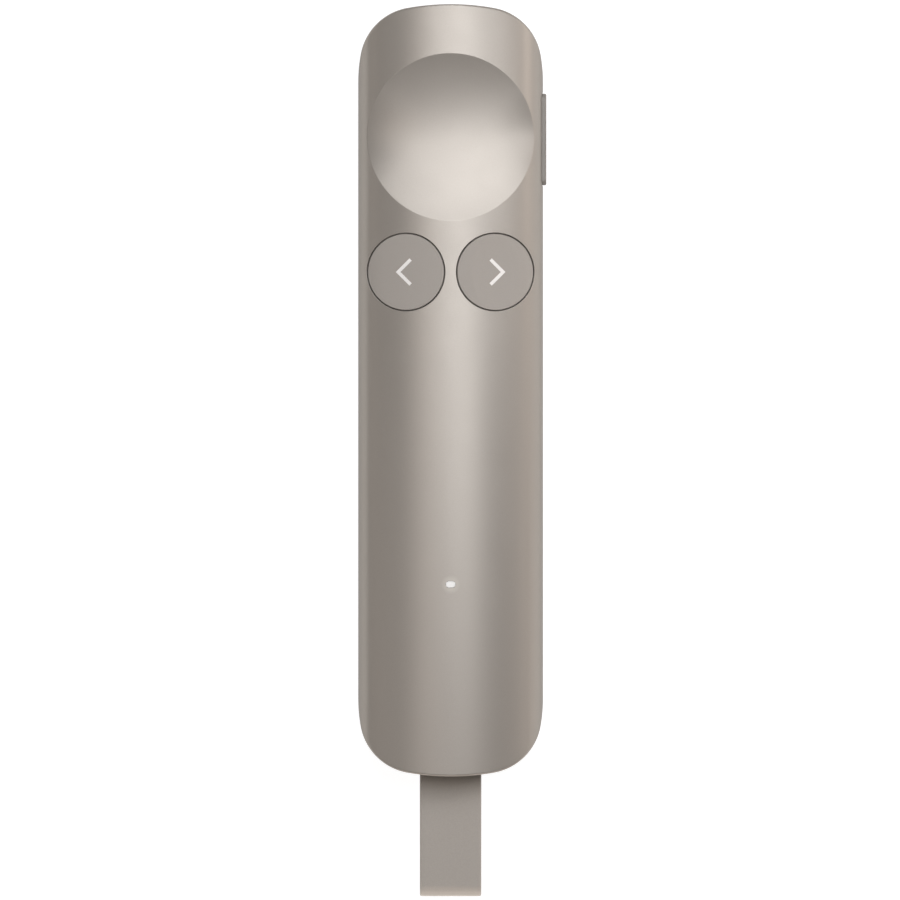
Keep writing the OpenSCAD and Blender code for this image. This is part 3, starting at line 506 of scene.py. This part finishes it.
def add_arch(work, left, right, upper, bottom):
    """The end wall round the upper part of the dock's mouth, with the mouth's own wall."""
    half = mouth_half(bottom)
    above = MOUTH[MOUTH[:, 1] > bottom + 0.02]
    start = int(np.argmin(np.where(above[:, 0] > 0, above[:, 1], np.inf)))
    arch = np.concatenate([[[half, bottom]], np.roll(above, -start, axis=0), [[-half, bottom]]])
    outer = np.concatenate([
        [[x, bottom] for x in MOUTH_X if x < -half - MOUTH_CLEAR],
        arch[::-1],
        [[x, bottom] for x in MOUTH_X if x > half + MOUTH_CLEAR],
        np.stack([np.full(len(right) - 1, MOUTH_X[-1]), right[1:]], 1),
        np.stack([MOUTH_X, upper], 1)[-2::-1],
        np.stack([np.full(len(left) - 2, MOUTH_X[0]), left[-2:0:-1]], 1),
    ])
    flat, triangles = fill(
        outer, (), (), grid((-MOUTH_GRID_X, bottom), (MOUTH_GRID_X, TOP), 0.5), 0.2
    )
    work.add(*end_wall(flat), triangles)
    work.add(*tunnel(arch))


def make_top_shell(material):
    work = Patchwork()
    band, band_n = band_rows()
    bottom = SEAM_Z + SEAM_GAP
    wall, wall_n = wall_rows([1, 0.85, 0.7, 0.5, 0.3, 0.15, 0], 5, bottom)
    # Columns at the ends of the patches for the slot and for the dock's mouth
    on_right = (OUTLINE[:, 0] > 0) & (OUTLINE[:, 2] > 1 - TINY)
    slot_from, slot_to = (
        int(np.where(on_right & (np.abs(OUTLINE[:, 1] - y) < 1e-6))[0][0])
        for y in (SLOT_FROM_Y, SLOT_TO_Y)
    )
    first, last = MOUTH_COLUMNS[0], MOUTH_COLUMNS[-1]
    # The band and the wall without the slot's columns, and the mouth's columns only above the mouth
    order = np.arange(slot_to, COUNT + slot_from + 1) % COUNT
    work.add(*strip(band[:, order], band_n[:, order]))
    for part in (order[:first - slot_to + 1], order[last - slot_to:]):
        work.add(*strip(wall[:, part], wall_n[:, part]))
    over = wall[:WALL_CUT + 1, MOUTH_COLUMNS]
    work.add(*strip(over, wall_n[:WALL_CUT + 1, MOUTH_COLUMNS]))
    add_face(work, band[-1][:, :2])
    heights = np.concatenate([band[::-1, slot_from, 2], wall[1:, slot_from, 2]])
    add_slot(work, heights, OUTLINE[slot_from:slot_to + 1, 1])
    left, right = (wall[:WALL_CUT - 1:-1, k, 2] for k in (first, last))
    add_arch(work, left, right, over[-1, :, 2], bottom)
    work.add(*ledge(1, bottom))
    work.object("housing_top", "housing", material, ["top_shell"])


def end_wall(flat):
    """Positions and normals on the tab end's wall for points (x along the arc, z)."""
    x, z = flat[:, 0], flat[:, 1]
    nx = x / END_ARC_R
    ny = -np.sqrt(1 - nx * nx)
    y = -(HALF_L - END_ARC_R) + END_ARC_R * ny
    r = END_BASE_R + (SIDE_BASE_R - END_BASE_R) * nx ** 2
    s = np.clip((r - z) / r, 0, 1)
    c = np.sqrt(1 - s * s)
    d = r - r * c
    return (np.stack([x - nx * d, y - ny * d, z], 1), np.stack([nx * c, ny * c, -s], 1))


def tunnel(edge):
    """The mouth's own wall, from the end face inwards along an open edge."""
    place = end_wall(edge)[0]
    along = np.gradient(edge, axis=0)
    along /= np.linalg.norm(along, axis=1, keepdims=True)
    side = np.stack([along[:, 1], np.zeros(len(edge)), -along[:, 0]], 1)
    toward = np.array([0, 0, DOCK_Z]) - place
    toward[:, 1] = 0
    side *= np.sign((side * toward).sum(1))[:, None]
    deep = place.copy()
    deep[:, 1] = -HALF_L + MOUTH_DEPTH
    return strip(np.array([place, deep]), np.array([side, side]))


def ledge(up, z):
    """A rim going in at the seam, which faces down for the upper shell (1) and up for the lower (-1)."""
    shown = ~(NEAR_END & (np.abs(OUTLINE[:, 0]) < mouth_half(z)))
    edge, outward = wall_ring(np.full(COUNT, z))
    rows, normals = [edge], [outward]
    for inset in LEDGE_INSETS:
        inner = edge.copy()
        inner[:, :2] -= OUTLINE[:, 2:4] * inset
        rows.append(inner)
        normals.append(all_facing((0, 0, -up), COUNT))
    rows, normals = np.array(rows), np.array(normals)
    points, directions, faces = strip(rows[1:], normals[1:], closed=True)
    joined = [f for f in faces if all(shown[k % COUNT] for k in f)]
    first = np.concatenate([rows[0], rows[1]])
    between = unit(normals[0] + normals[1])
    bridge = [
        (k, (k + 1) % COUNT, COUNT + (k + 1) % COUNT, COUNT + k)
        for k in range(COUNT) if shown[k] and shown[(k + 1) % COUNT]
    ]
    return (
        np.concatenate([points, first]),
        np.concatenate([directions, between, normals[1]]),
        joined + [tuple(len(points) + k for k in f) for f in bridge],
    )


def make_back_shell(material):
    work = Patchwork()
    top = SEAM_Z - SEAM_GAP
    rows, normals = [], []
    first = np.arcsin((BASE_R - top) / BASE_R)
    for k in range(BACK_ROWS + 1):
        a = first + (math.pi / 2 - first) * k / BACK_ROWS
        c, s = np.cos(a), np.sin(a)
        d = BASE_R - BASE_R * c
        rows.append(np.stack([
            OUTLINE[:, 0] - OUTLINE[:, 2] * d, OUTLINE[:, 1] - OUTLINE[:, 3] * d, BASE_R - BASE_R * s
        ], 1))
        normals.append(np.stack([OUTLINE[:, 2] * c, OUTLINE[:, 3] * c, -s], 1))
    rows, normals = np.array(rows), np.array(normals)
    order = np.arange(MOUTH_COLUMNS[-1], COUNT + MOUTH_COLUMNS[0] + 1) % COUNT
    work.add(*strip(rows[:, order], normals[:, order]))
    work.add(*strip(rows[BACK_CUT:, MOUTH_COLUMNS], normals[BACK_CUT:, MOUTH_COLUMNS]))

    # The end wall below the dock's mouth
    half = mouth_half(top)
    below = MOUTH[MOUTH[:, 1] < top - 0.02]
    below = below[np.argsort(below[:, 0])]
    notch = np.concatenate([[[-half, top]], below, [[half, top]]])
    left, right = (rows[:BACK_CUT, MOUTH_COLUMNS[k], 2] for k in (0, -1))
    between = MOUTH_X[-2:0:-1]
    outer = np.concatenate([
        np.stack([MOUTH_X, rows[BACK_CUT, MOUTH_COLUMNS, 2]], 1),
        np.stack([np.full(BACK_CUT, MOUTH_X[-1]), right[::-1]], 1),
        [[x, top] for x in between if x > half + MOUTH_CLEAR],
        notch[::-1],
        [[x, top] for x in between if x < -half - MOUTH_CLEAR],
        np.stack([np.full(BACK_CUT, MOUTH_X[0]), left], 1),
    ])
    flat, triangles = fill(
        outer, (), (), grid((-MOUTH_GRID_X, 0.5), (MOUTH_GRID_X, top), 0.4), 0.15
    )
    work.add(*end_wall(flat), triangles)
    work.add(*tunnel(notch))

    # The flat of the back
    flat, triangles = fill(
        rows[-1][:, :2], (), (), grid((-HALF_W, -HALF_L), (HALF_W, HALF_L), 2.5), 0.6
    )
    work.add(np.column_stack([flat, np.zeros(len(flat))]), all_facing(DOWN, len(flat)), triangles)
    work.add(*ledge(-1, top))
    work.object("housing_back", "housing", material, ["back_shell"])


# The buttons

def chevron_loop(side):
    """The chevron's outline, pointing left for -1 and right for 1, with points along its edges."""
    back = CHEVRON_STROKE * math.sqrt(2)
    r = CHEVRON_REACH
    corners = np.array([
        [0, 0], [r, -r], [r + back / 2, back / 2 - r], [back, 0],
        [r + back / 2, r - back / 2], [r, r],
    ])
    corners[:, 0] -= (r + back / 2) / 2
    made = []
    for a, b in zip(corners, np.roll(corners, -1, axis=0)):
        n = max(1, int(np.linalg.norm(b - a) / CHEVRON_STEP))
        made.append(a + (b - a) * np.linspace(0, 1, n, endpoint=False)[:, None])
    loop = np.concatenate(made)
    if side > 0:
        loop = (loop * [-1, 1])[::-1]
    return loop + [side * (CAP_X + CHEVRON_SHIFT), CAPS_Y]


def cap_face(x, y, side):
    """Heights and normals of a cap's top, which follows the crown and on the right is scooped out."""
    z = skin(x)
    normal = unit(np.stack([-skin_slope(x), np.zeros_like(x), np.ones_like(x)], 1))
    if side < 0:
        return z, normal
    tilt = math.asin(CAP_X / CROWN_R)
    radius = (CAP_R ** 2 + SCOOP_DEPTH ** 2) / (2 * SCOOP_DEPTH)
    across = y - CAPS_Y
    sag = radius - np.sqrt(radius ** 2 - across ** 2)
    plane = skin(np.array([CAP_X]))[0] - (x - CAP_X) * math.tan(tilt)
    scoop = plane + (sag - SCOOP_DEPTH) / math.cos(tilt)
    slope = across / np.sqrt(radius ** 2 - across ** 2) / math.cos(tilt)
    hollow = unit(np.stack([np.full_like(x, math.tan(tilt)), -slope, np.ones_like(x)], 1))
    share = np.clip((z - scoop) / RIM_SOFTNESS + 0.5, 0, 1)[:, None]
    share = share * share * (3 - 2 * share)
    return np.minimum(z, scoop), unit(hollow * share + normal * (1 - share))


def make_cap(side, name, body, material, node):
    work = Patchwork()
    x0 = side * CAP_X
    loops = [circle(x0, CAPS_Y, CAP_R - e, CAP_POINTS) for e in CAP_STEPS]
    chevron = chevron_loop(side)
    flat, triangles = fill(
        loops[0], [chevron], loops[1:],
        grid((x0 - CAP_R, CAPS_Y - CAP_R), (x0 + CAP_R, CAPS_Y + CAP_R), 0.4), 0.15,
    )
    z, normal = cap_face(flat[:, 0], flat[:, 1], side)
    away = flat - [x0, CAPS_Y]
    r = np.hypot(*away.T)
    direction = np.column_stack([-away / np.maximum(r, TINY)[:, None], np.zeros(len(r))])
    place = np.column_stack([flat, z])
    round_edge(place, normal, direction, np.maximum(CAP_R - r, 0), CAP_FILLET)
    work.add(place, normal, triangles)
    # Side wall and underside
    edge = loops[0]
    top = cap_face(edge[:, 0], edge[:, 1], side)[0] - CAP_FILLET
    out = np.column_stack([(edge - [x0, CAPS_Y]) / CAP_R, np.zeros(len(edge))])
    lip = edge + out[:, :2] * CAP_FLANGE
    up = all_facing((0, 0, 1), len(edge))
    low = np.full(len(edge), CAP_LOW)
    shelf, end = top - FLANGE_DEPTH, top - FLANGE_END
    for a, b, normal in (
        ((edge, top), (edge, shelf), out),
        ((edge, shelf), (lip, shelf), up),
        ((lip, shelf), (lip, end), out),
        ((lip, end), (edge, end), -up),
        ((edge, end), (edge, low), out),
    ):
        work.add(*wall_between(np.column_stack(a), np.column_stack(b), normal))
    flat, triangles = fill(edge)
    foot = np.column_stack([flat, np.full(len(flat), CAP_LOW)])
    work.add(foot, all_facing(DOWN, len(flat)), triangles)
    work.object(name, body, material, [node])


def make_chevron(side, name, body, material, node):
    work = Patchwork()
    loop = chevron_loop(side)
    flat, triangles = fill(loop, (), (), grid(loop.min(0), loop.max(0), 0.2), 0.08)
    z, normal = cap_face(flat[:, 0], flat[:, 1], side)
    work.add(np.column_stack([flat, z]), normal, triangles)
    z = cap_face(loop[:, 0], loop[:, 1], side)[0]
    out = np.column_stack([loop_normals(loop), np.zeros(len(loop))])
    work.add(*wall_between(np.column_stack([loop, z]), np.column_stack([loop, z - CHEVRON_DEPTH]), out))
    flat, triangles = fill(loop)
    z = cap_face(flat[:, 0], flat[:, 1], side)[0] - CHEVRON_DEPTH
    work.add(np.column_stack([flat, z]), all_facing(DOWN, len(flat)), triangles)
    work.object(name, body, material, [node])


def make_side_bar(material):
    work = Patchwork()
    loop = rounded_loop(BAR_L, BAR_H, BAR_CORNER, LOOP_STEP, CORNER_POINTS)
    out = loop_normals(loop)
    loops = [loop - out * e for e in BAR_STEPS]
    flat, triangles = fill(
        loops[0], (), loops[1:], grid((-BAR_L / 2, -BAR_H / 2), (BAR_L / 2, BAR_H / 2), 0.4), 0.18
    )
    far, k = near_edge(flat, loop)
    # A slight belly across the bar's height
    belly = BAR_BELLY * (flat[:, 1] / (BAR_H / 2)) ** 2
    place = on_side(flat, BAR_OUT - belly)
    normal = unit(np.column_stack([
        np.ones(len(flat)), np.zeros(len(flat)), 2 * BAR_BELLY * flat[:, 1] / (BAR_H / 2) ** 2
    ]))
    direction = np.column_stack([np.zeros(len(k)), -out[k]])
    round_edge(place, normal, direction, far, BAR_FILLET)
    work.add(place, normal, triangles)
    edge_x = BAR_OUT - BAR_BELLY * (loop[:, 1] / (BAR_H / 2)) ** 2 - BAR_FILLET
    side = np.column_stack([np.zeros(len(loop)), out])
    work.add(*wall_between(on_side(loop, edge_x), on_side(loop, BAR_IN), side))
    flat, triangles = fill(loop)
    work.add(on_side(flat, BAR_IN), all_facing((-1, 0, 0), len(flat)), triangles)
    work.object("side_bar", "side_button", material, ["side_button"])


def make_light_pipe(material):
    work = Patchwork()
    loop = rounded_loop(WINDOW_L, WINDOW_W, WINDOW_W / 2 - 0.01, 0.1, 14)
    out = loop_normals(loop)
    loops = [loop - out * e for e in PIPE_STEPS]
    flat, triangles = fill(loops[0], (), loops[1:], grid((-0.8, -0.5), (0.8, 0.5), 0.12), 0.05)
    far, k = near_edge(flat, loop)
    place = np.column_stack([flat + [0, WINDOW_Y], skin(flat[:, 0])])
    normal = all_facing((0, 0, 1), len(flat))
    direction = np.column_stack([-out[k], np.zeros(len(k))])
    round_edge(place, normal, direction, far, PIPE_FILLET)
    work.add(place, normal, triangles)
    top = skin(loop[:, 0])
    side = np.column_stack([out, np.zeros(len(loop))])
    rim = np.column_stack([loop + [0, WINDOW_Y], top - PIPE_FILLET])
    foot = np.column_stack([loop + [0, WINDOW_Y], top - PIPE_DEPTH])
    work.add(*wall_between(rim, foot, side))
    flat, triangles = fill(loop)
    foot = np.column_stack([flat + [0, WINDOW_Y], skin(flat[:, 0]) - PIPE_DEPTH])
    work.add(foot, all_facing(DOWN, len(flat)), triangles)
    work.object("status_window", "housing", material, ["status_light_pipe"])


def make_tab(material):
    """The silicone band, swept round its pin and its fold."""
    path_r = TAB_R - BAND_T / 2
    half = np.linspace(-math.pi / 2, math.pi / 2, FOLD_POINTS)
    pin = np.stack([PIN_Y + path_r * np.cos(half), DOCK_Z + path_r * np.sin(half),
                    np.cos(half), np.sin(half)], 1)
    fold = np.stack([FOLD_Y - path_r * np.cos(half), DOCK_Z - path_r * np.sin(half),
                     -np.cos(half), -np.sin(half)], 1)
    t = np.linspace(0, 1, RUN_POINTS)[1:-1, None]
    upper = pin[-1] + (fold[0] - pin[-1]) * t
    lower = fold[-1] + (pin[0] - fold[-1]) * t
    path = np.concatenate([pin, upper, fold, lower])
    section = rounded_loop(TAB_W, BAND_T, BAND_CORNER, 0.35, 8)
    section_out = loop_normals(section)
    rows, normals = [], []
    for y, z, ny, nz in path:
        rows.append(np.column_stack([section[:, 0], y + ny * section[:, 1], z + nz * section[:, 1]]))
        normals.append(np.column_stack([
            section_out[:, 0], ny * section_out[:, 1], nz * section_out[:, 1]
        ]))
    rows.append(rows[0])
    normals.append(normals[0])
    work = Patchwork()
    work.add(*strip(np.array(rows), np.array(normals), closed=True))
    work.object("pull_strap", "tab", material, ["pull_tab"])


# Materials

def new_material(name):
    material = bpy.data.materials.new(name)
    material.use_nodes = True
    tree = material.node_tree
    shader = tree.nodes["Principled BSDF"]
    coords = tree.nodes.new("ShaderNodeTexCoord")
    return material, tree, shader, coords


def noise(tree, coords, scale, detail=2.0):
    made = tree.nodes.new("ShaderNodeTexNoise")
    made.inputs["Scale"].default_value = scale
    made.inputs["Detail"].default_value = detail
    tree.links.new(coords.outputs["Object"], made.inputs["Vector"])
    return made.outputs["Fac"]


def ramp(tree, source, stops):
    made = tree.nodes.new("ShaderNodeValToRGB")
    while len(made.color_ramp.elements) < len(stops):
        made.color_ramp.elements.new(0.5)
    for element, (place, colour) in zip(made.color_ramp.elements, stops):
        element.position = place
        element.color = (*colour, 1)
    tree.links.new(source, made.inputs["Fac"])
    return made.outputs["Color"]


def spread(tree, source, low, high, start=0.3, end=0.7):
    made = tree.nodes.new("ShaderNodeMapRange")
    made.inputs["From Min"].default_value = start
    made.inputs["From Max"].default_value = end
    made.inputs["To Min"].default_value = low
    made.inputs["To Max"].default_value = high
    tree.links.new(source, made.inputs["Value"])
    return made.outputs["Result"]


def bump(tree, shader, source, distance, strength):
    made = tree.nodes.new("ShaderNodeBump")
    made.inputs["Distance"].default_value = distance
    made.inputs["Strength"].default_value = strength
    tree.links.new(source, made.inputs["Height"])
    tree.links.new(made.outputs["Normal"], shader.inputs["Normal"])


def mixed(colour, amount):
    return tuple(max(0.0, min(1.0, c * amount)) for c in colour)


def textured(name, colour, metallic, rough, spread_rough, contrast, grain, bump_mm, **sockets):
    """Colour and relief vary at a grain in millimetres, and roughness at 40 times that grain."""
    material, tree, shader, coords = new_material(name)
    fine = noise(tree, coords, 1000 / grain, 3)
    broad = noise(tree, coords, 1000 / (grain * 40))
    stops = [(0.3, mixed(colour, 1 - contrast)), (0.5, colour), (0.7, mixed(colour, 1 + contrast))]
    tree.links.new(ramp(tree, fine, stops), shader.inputs["Base Color"])
    rough_source = spread(tree, broad, rough - spread_rough, rough + spread_rough)
    tree.links.new(rough_source, shader.inputs["Roughness"])
    bump(tree, shader, fine, bump_mm / 1000, 0.6)
    shader.inputs["Metallic"].default_value = metallic
    for socket, value in sockets.items():
        shader.inputs[socket.replace("_", " ")].default_value = value
    return material


def moulded(name, colour, rough, grain=0.25):
    return textured(name, colour, 0, rough, 0.06, 0.08, grain, 0.004)


def metal(name, colour, rough, grain=0.15):
    return textured(name, colour, 1, rough, 0.07, 0.08, grain, 0.002)


def circuit(name):
    """Solder mask with copper traces under it."""
    material, tree, shader, coords = new_material(name)
    brick = tree.nodes.new("ShaderNodeTexBrick")
    brick.inputs["Scale"].default_value = 900
    brick.inputs["Mortar Size"].default_value = 0.04
    brick.inputs["Color1"].default_value = (0.006, 0.016, 0.012, 1)
    brick.inputs["Color2"].default_value = (0.008, 0.02, 0.015, 1)
    brick.inputs["Mortar"].default_value = (0.03, 0.055, 0.035, 1)
    tree.links.new(coords.outputs["Object"], brick.inputs["Vector"])
    tree.links.new(brick.outputs["Color"], shader.inputs["Base Color"])
    bump(tree, shader, brick.outputs["Fac"], 0.00002, 0.5)
    cloud = noise(tree, coords, 400)
    tree.links.new(spread(tree, cloud, 0.28, 0.4), shader.inputs["Roughness"])
    return material


def glowing(name, colour, strength):
    """A milky pipe lit from below, faintly clouded."""
    material, tree, shader, coords = new_material(name)
    cloud = noise(tree, coords, 3000)
    lit = ramp(tree, cloud, [(0.3, mixed(colour, 0.94)), (0.7, colour)])
    tree.links.new(lit, shader.inputs["Emission Color"])
    milk = ramp(tree, cloud, [(0.3, (0.36, 0.36, 0.36)), (0.7, (0.42, 0.42, 0.42))])
    tree.links.new(milk, shader.inputs["Base Color"])
    shader.inputs["Emission Strength"].default_value = strength
    shader.inputs["Roughness"].default_value = 0.3
    return material


def glow_at_window(material, level):
    """Lets the paint shine a little round the lit window, less and less with the distance from it."""
    tree = material.node_tree
    shader = tree.nodes["Principled BSDF"]
    away = tree.nodes.new("ShaderNodeVectorMath")
    away.operation = "DISTANCE"
    away.inputs[1].default_value = (0, WINDOW_Y / 1000, TOP / 1000)
    tree.links.new(tree.nodes["Texture Coordinate"].outputs["Object"], away.inputs[0])
    fading = spread(tree, away.outputs["Value"], level, 0, WINDOW_W / 2000, WINDOW_L / 1000)
    tree.links.new(fading, shader.inputs["Emission Strength"])
    shader.inputs["Emission Color"].default_value = (1, 0.96, 0.92, 1)


PAINT = (0.36, 0.326, 0.290)
CAP_PAINT = (0.352, 0.317, 0.282)
BAR_PAINT = (0.22, 0.20, 0.178)
SILICONE = (0.372, 0.337, 0.299)
PAINT_GRAIN = 0.09
shell_paint = textured(
    "satin_paint", PAINT, metallic=0.5, rough=0.35, spread_rough=0.012, contrast=0.04, grain=PAINT_GRAIN,
    bump_mm=0.0008, Specular_Tint=(0.22, 0.22, 0.22, 1),
)
cap_paint = textured(
    "matte_paint", CAP_PAINT, metallic=0, rough=0.7, spread_rough=0.02, contrast=0.04, grain=PAINT_GRAIN,
    bump_mm=0.0015,
)
bar_paint = textured(
    "bar_paint", BAR_PAINT, metallic=0.1, rough=0.5, spread_rough=0.02, contrast=0.04, grain=PAINT_GRAIN,
    bump_mm=0.0015,
)
white_inlay = moulded("white_inlay", (0.83, 0.79, 0.75), 0.6, 0.12)
light_pipe = glowing("lit_window", (1.0, 0.955, 0.91), 0.46)
silicone = textured(
    "silicone", SILICONE, metallic=0, rough=0.62, spread_rough=0.05, contrast=0.035, grain=0.2,
    bump_mm=0.002, Sheen_Weight=0.15,
)

glow_at_window(shell_paint, 0.09)

make_top_shell(shell_paint)
make_back_shell(shell_paint)
make_cap(-1, "previous_cap", "prev_button", cap_paint, "prev_button")
make_cap(1, "next_cap", "next_button", cap_paint, "next_button")
make_chevron(-1, "previous_arrow", "prev_button", white_inlay, "prev_chevron")
make_chevron(1, "next_arrow", "next_button", white_inlay, "next_chevron")
make_side_bar(bar_paint)
make_light_pipe(light_pipe)
make_tab(silicone)

# The CAD nodes that stay
dark_plastic = moulded("dark_plastic", (0.035, 0.034, 0.034), 0.5)
sleeve_plastic = moulded("sleeve_plastic", (0.05, 0.048, 0.046), 0.45)
steel = metal("steel", (0.62, 0.62, 0.63), 0.3)
plated = metal("plated_steel", (0.7, 0.69, 0.67), 0.24, 0.1)
ceramic = moulded("chip_ceramic", (0.03, 0.03, 0.032), 0.4, 0.15)
foil = metal("battery_foil", (0.5, 0.51, 0.52), 0.42, 0.4)
tape = moulded("foam_tape", (0.02, 0.02, 0.02), 0.85, 0.15)
sleeve = moulded("wire_sleeve", (0.35, 0.02, 0.015), 0.45, 0.2)
board = circuit("circuit_board")
FINISHES = {
    "chassis": sleeve_plastic, "chassis_screws": steel, "main_board": board,
    "battery_cell": foil, "battery_pad": tape, "battery_leads": sleeve,
    "battery_plug": white_inlay, "battery_header": dark_plastic,
    "radio_shield_can": plated, "controller_chip": ceramic, "controller_crystal": steel,
    "motion_sensor_chip": ceramic, "power_chip": ceramic, "board_passives": ceramic,
    "antenna_chip": white_inlay, "haptic_motor": steel, "haptic_pad": tape,
    "port_shell": steel, "port_tongue": dark_plastic, "receiver_housing": dark_plastic,
    "receiver_plug_shell": plated, "receiver_plug_insulator": dark_plastic,
    "receiver_board": board, "receiver_chip": ceramic, "tab_anchor_pin": steel,
    "status_led": white_inlay,
}
for where in ("prev", "next", "side"):
    FINISHES[f"{where}_switch_base"] = dark_plastic
    FINISHES[f"{where}_switch_dome"] = steel
    FINISHES[f"{where}_switch_plunger"] = white_inlay
for name, material in FINISHES.items():
    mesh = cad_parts[name].data
    mesh.materials.clear()
    mesh.materials.append(material)

# Floor and light
FLOOR_LEVEL, FLOOR_HALF, FLOOR_DROP = 0.88, 3, 0.0002
WORLD_LEVEL, SOFTBOX_DISTANCE = 0.1, 700
floor_mesh = bpy.data.meshes.new("floor")
floor_corners = [
    (sx * FLOOR_HALF, sy * FLOOR_HALF, 0) for sx, sy in ((-1, -1), (1, -1), (1, 1), (-1, 1))
]
floor_mesh.from_pydata(floor_corners, [], [(0, 1, 2, 3)])
floor = bpy.data.objects.new("floor", floor_mesh)
floor.location = (0, 0, -FLOOR_DROP)
bpy.context.scene.collection.objects.link(floor)
floor_material, floor_tree, floor_shader, floor_coords = new_material("floor")
cloud = noise(floor_tree, floor_coords, 3)
floor_tree.links.new(
    ramp(floor_tree, cloud, [(0.3, (0.29, 0.29, 0.29)), (0.7, (0.31, 0.31, 0.31))]),
    floor_shader.inputs["Base Color"],
)
floor_shader.inputs["Roughness"].default_value = 0.9
floor_shader.inputs["Emission Color"].default_value = (1, 1, 1, 1)
floor_shader.inputs["Emission Strength"].default_value = FLOOR_LEVEL
floor_mesh.materials.append(floor_material)


def around(azimuth, elevation):
    """A softbox's place, by degrees from the right side and degrees above the floor."""
    turn, rise = math.radians(azimuth), math.radians(elevation)
    flat = SOFTBOX_DISTANCE * math.cos(rise)
    return flat * math.cos(turn), flat * math.sin(turn), SOFTBOX_DISTANCE * math.sin(rise)


# Softboxes: name, place and size in millimetres, power in watts and tint. Each faces the middle
NEUTRAL, WARM = (0.972, 1, 1.045), (1.08, 1, 0.96)
LIGHTS = [
    ("overhead", (0, 180, 600), (360, 360), 0.98, NEUTRAL),
    ("overhead_wide", (0, 180, 600), (620, 620), 0.2, NEUTRAL),
    ("overhead_left", (-180, 0, 600), (180, 180), 0.13, WARM),
    ("behind", (0, 540, 600), (360, 360), 1.23, NEUTRAL),
    ("over_dish", (45, 90, 300), (180, 180), 0.164, NEUTRAL),
    ("over_dish_right", (90, 90, 300), (180, 180), 0.037, NEUTRAL),
    ("over_dish_corner", (150, 150, 300), (240, 240), 0.03, NEUTRAL),
    ("over_caps", (45, 0, 300), (90, 90), 0.031, NEUTRAL),
    ("low_middle", (0, 0, 150), (45, 45), 0.004, NEUTRAL),
    ("low_right", (90, 45, 150), (45, 45), 0.017, NEUTRAL),
    ("low_left", (-135, -60, 150), (90, 90), 0.006, WARM),
    ("right_near", (220, 90, 110), (120, 80), 0.054, WARM),
    ("right_high", around(30, 45), (400, 300), 0.18, WARM),
    ("right", around(0, 35), (400, 300), 0.29, WARM),
    ("right_low", around(0, 10), (600, 160), 0.41, WARM),
    ("left", around(180, 20), (400, 300), 0.15, WARM),
    ("left_high", around(180, 40), (400, 300), 0.08, WARM),
    ("front", around(-90, 13), (900, 280), 0.8, WARM),
    ("front_near", (0, -200, 15), (80, 24), 0.105, WARM),
]
for name, place, size, power, colour in LIGHTS:
    light = bpy.data.lights.new(name, "AREA")
    light.shape = "RECTANGLE"
    light.size, light.size_y = size[0] / 1000, size[1] / 1000
    light.energy = power
    light.color = colour
    lamp = bpy.data.objects.new(name, light)
    lamp.location = Vector(place) / 1000
    lamp.visible_camera = False
    # This one lights the strap's fold, and its mirror image would glare on the top from behind
    lamp.visible_glossy = name != "front_near"
    lamp.rotation_euler = (-lamp.location).to_track_quat("-Z", "Y").to_euler()
    bpy.context.scene.collection.objects.link(lamp)
world = bpy.data.worlds.new("studio")
world.use_nodes = True
world.node_tree.nodes["Background"].inputs["Color"].default_value = (1, 0.96, 0.9, 1)
world.node_tree.nodes["Background"].inputs["Strength"].default_value = WORLD_LEVEL
bpy.context.scene.world = world
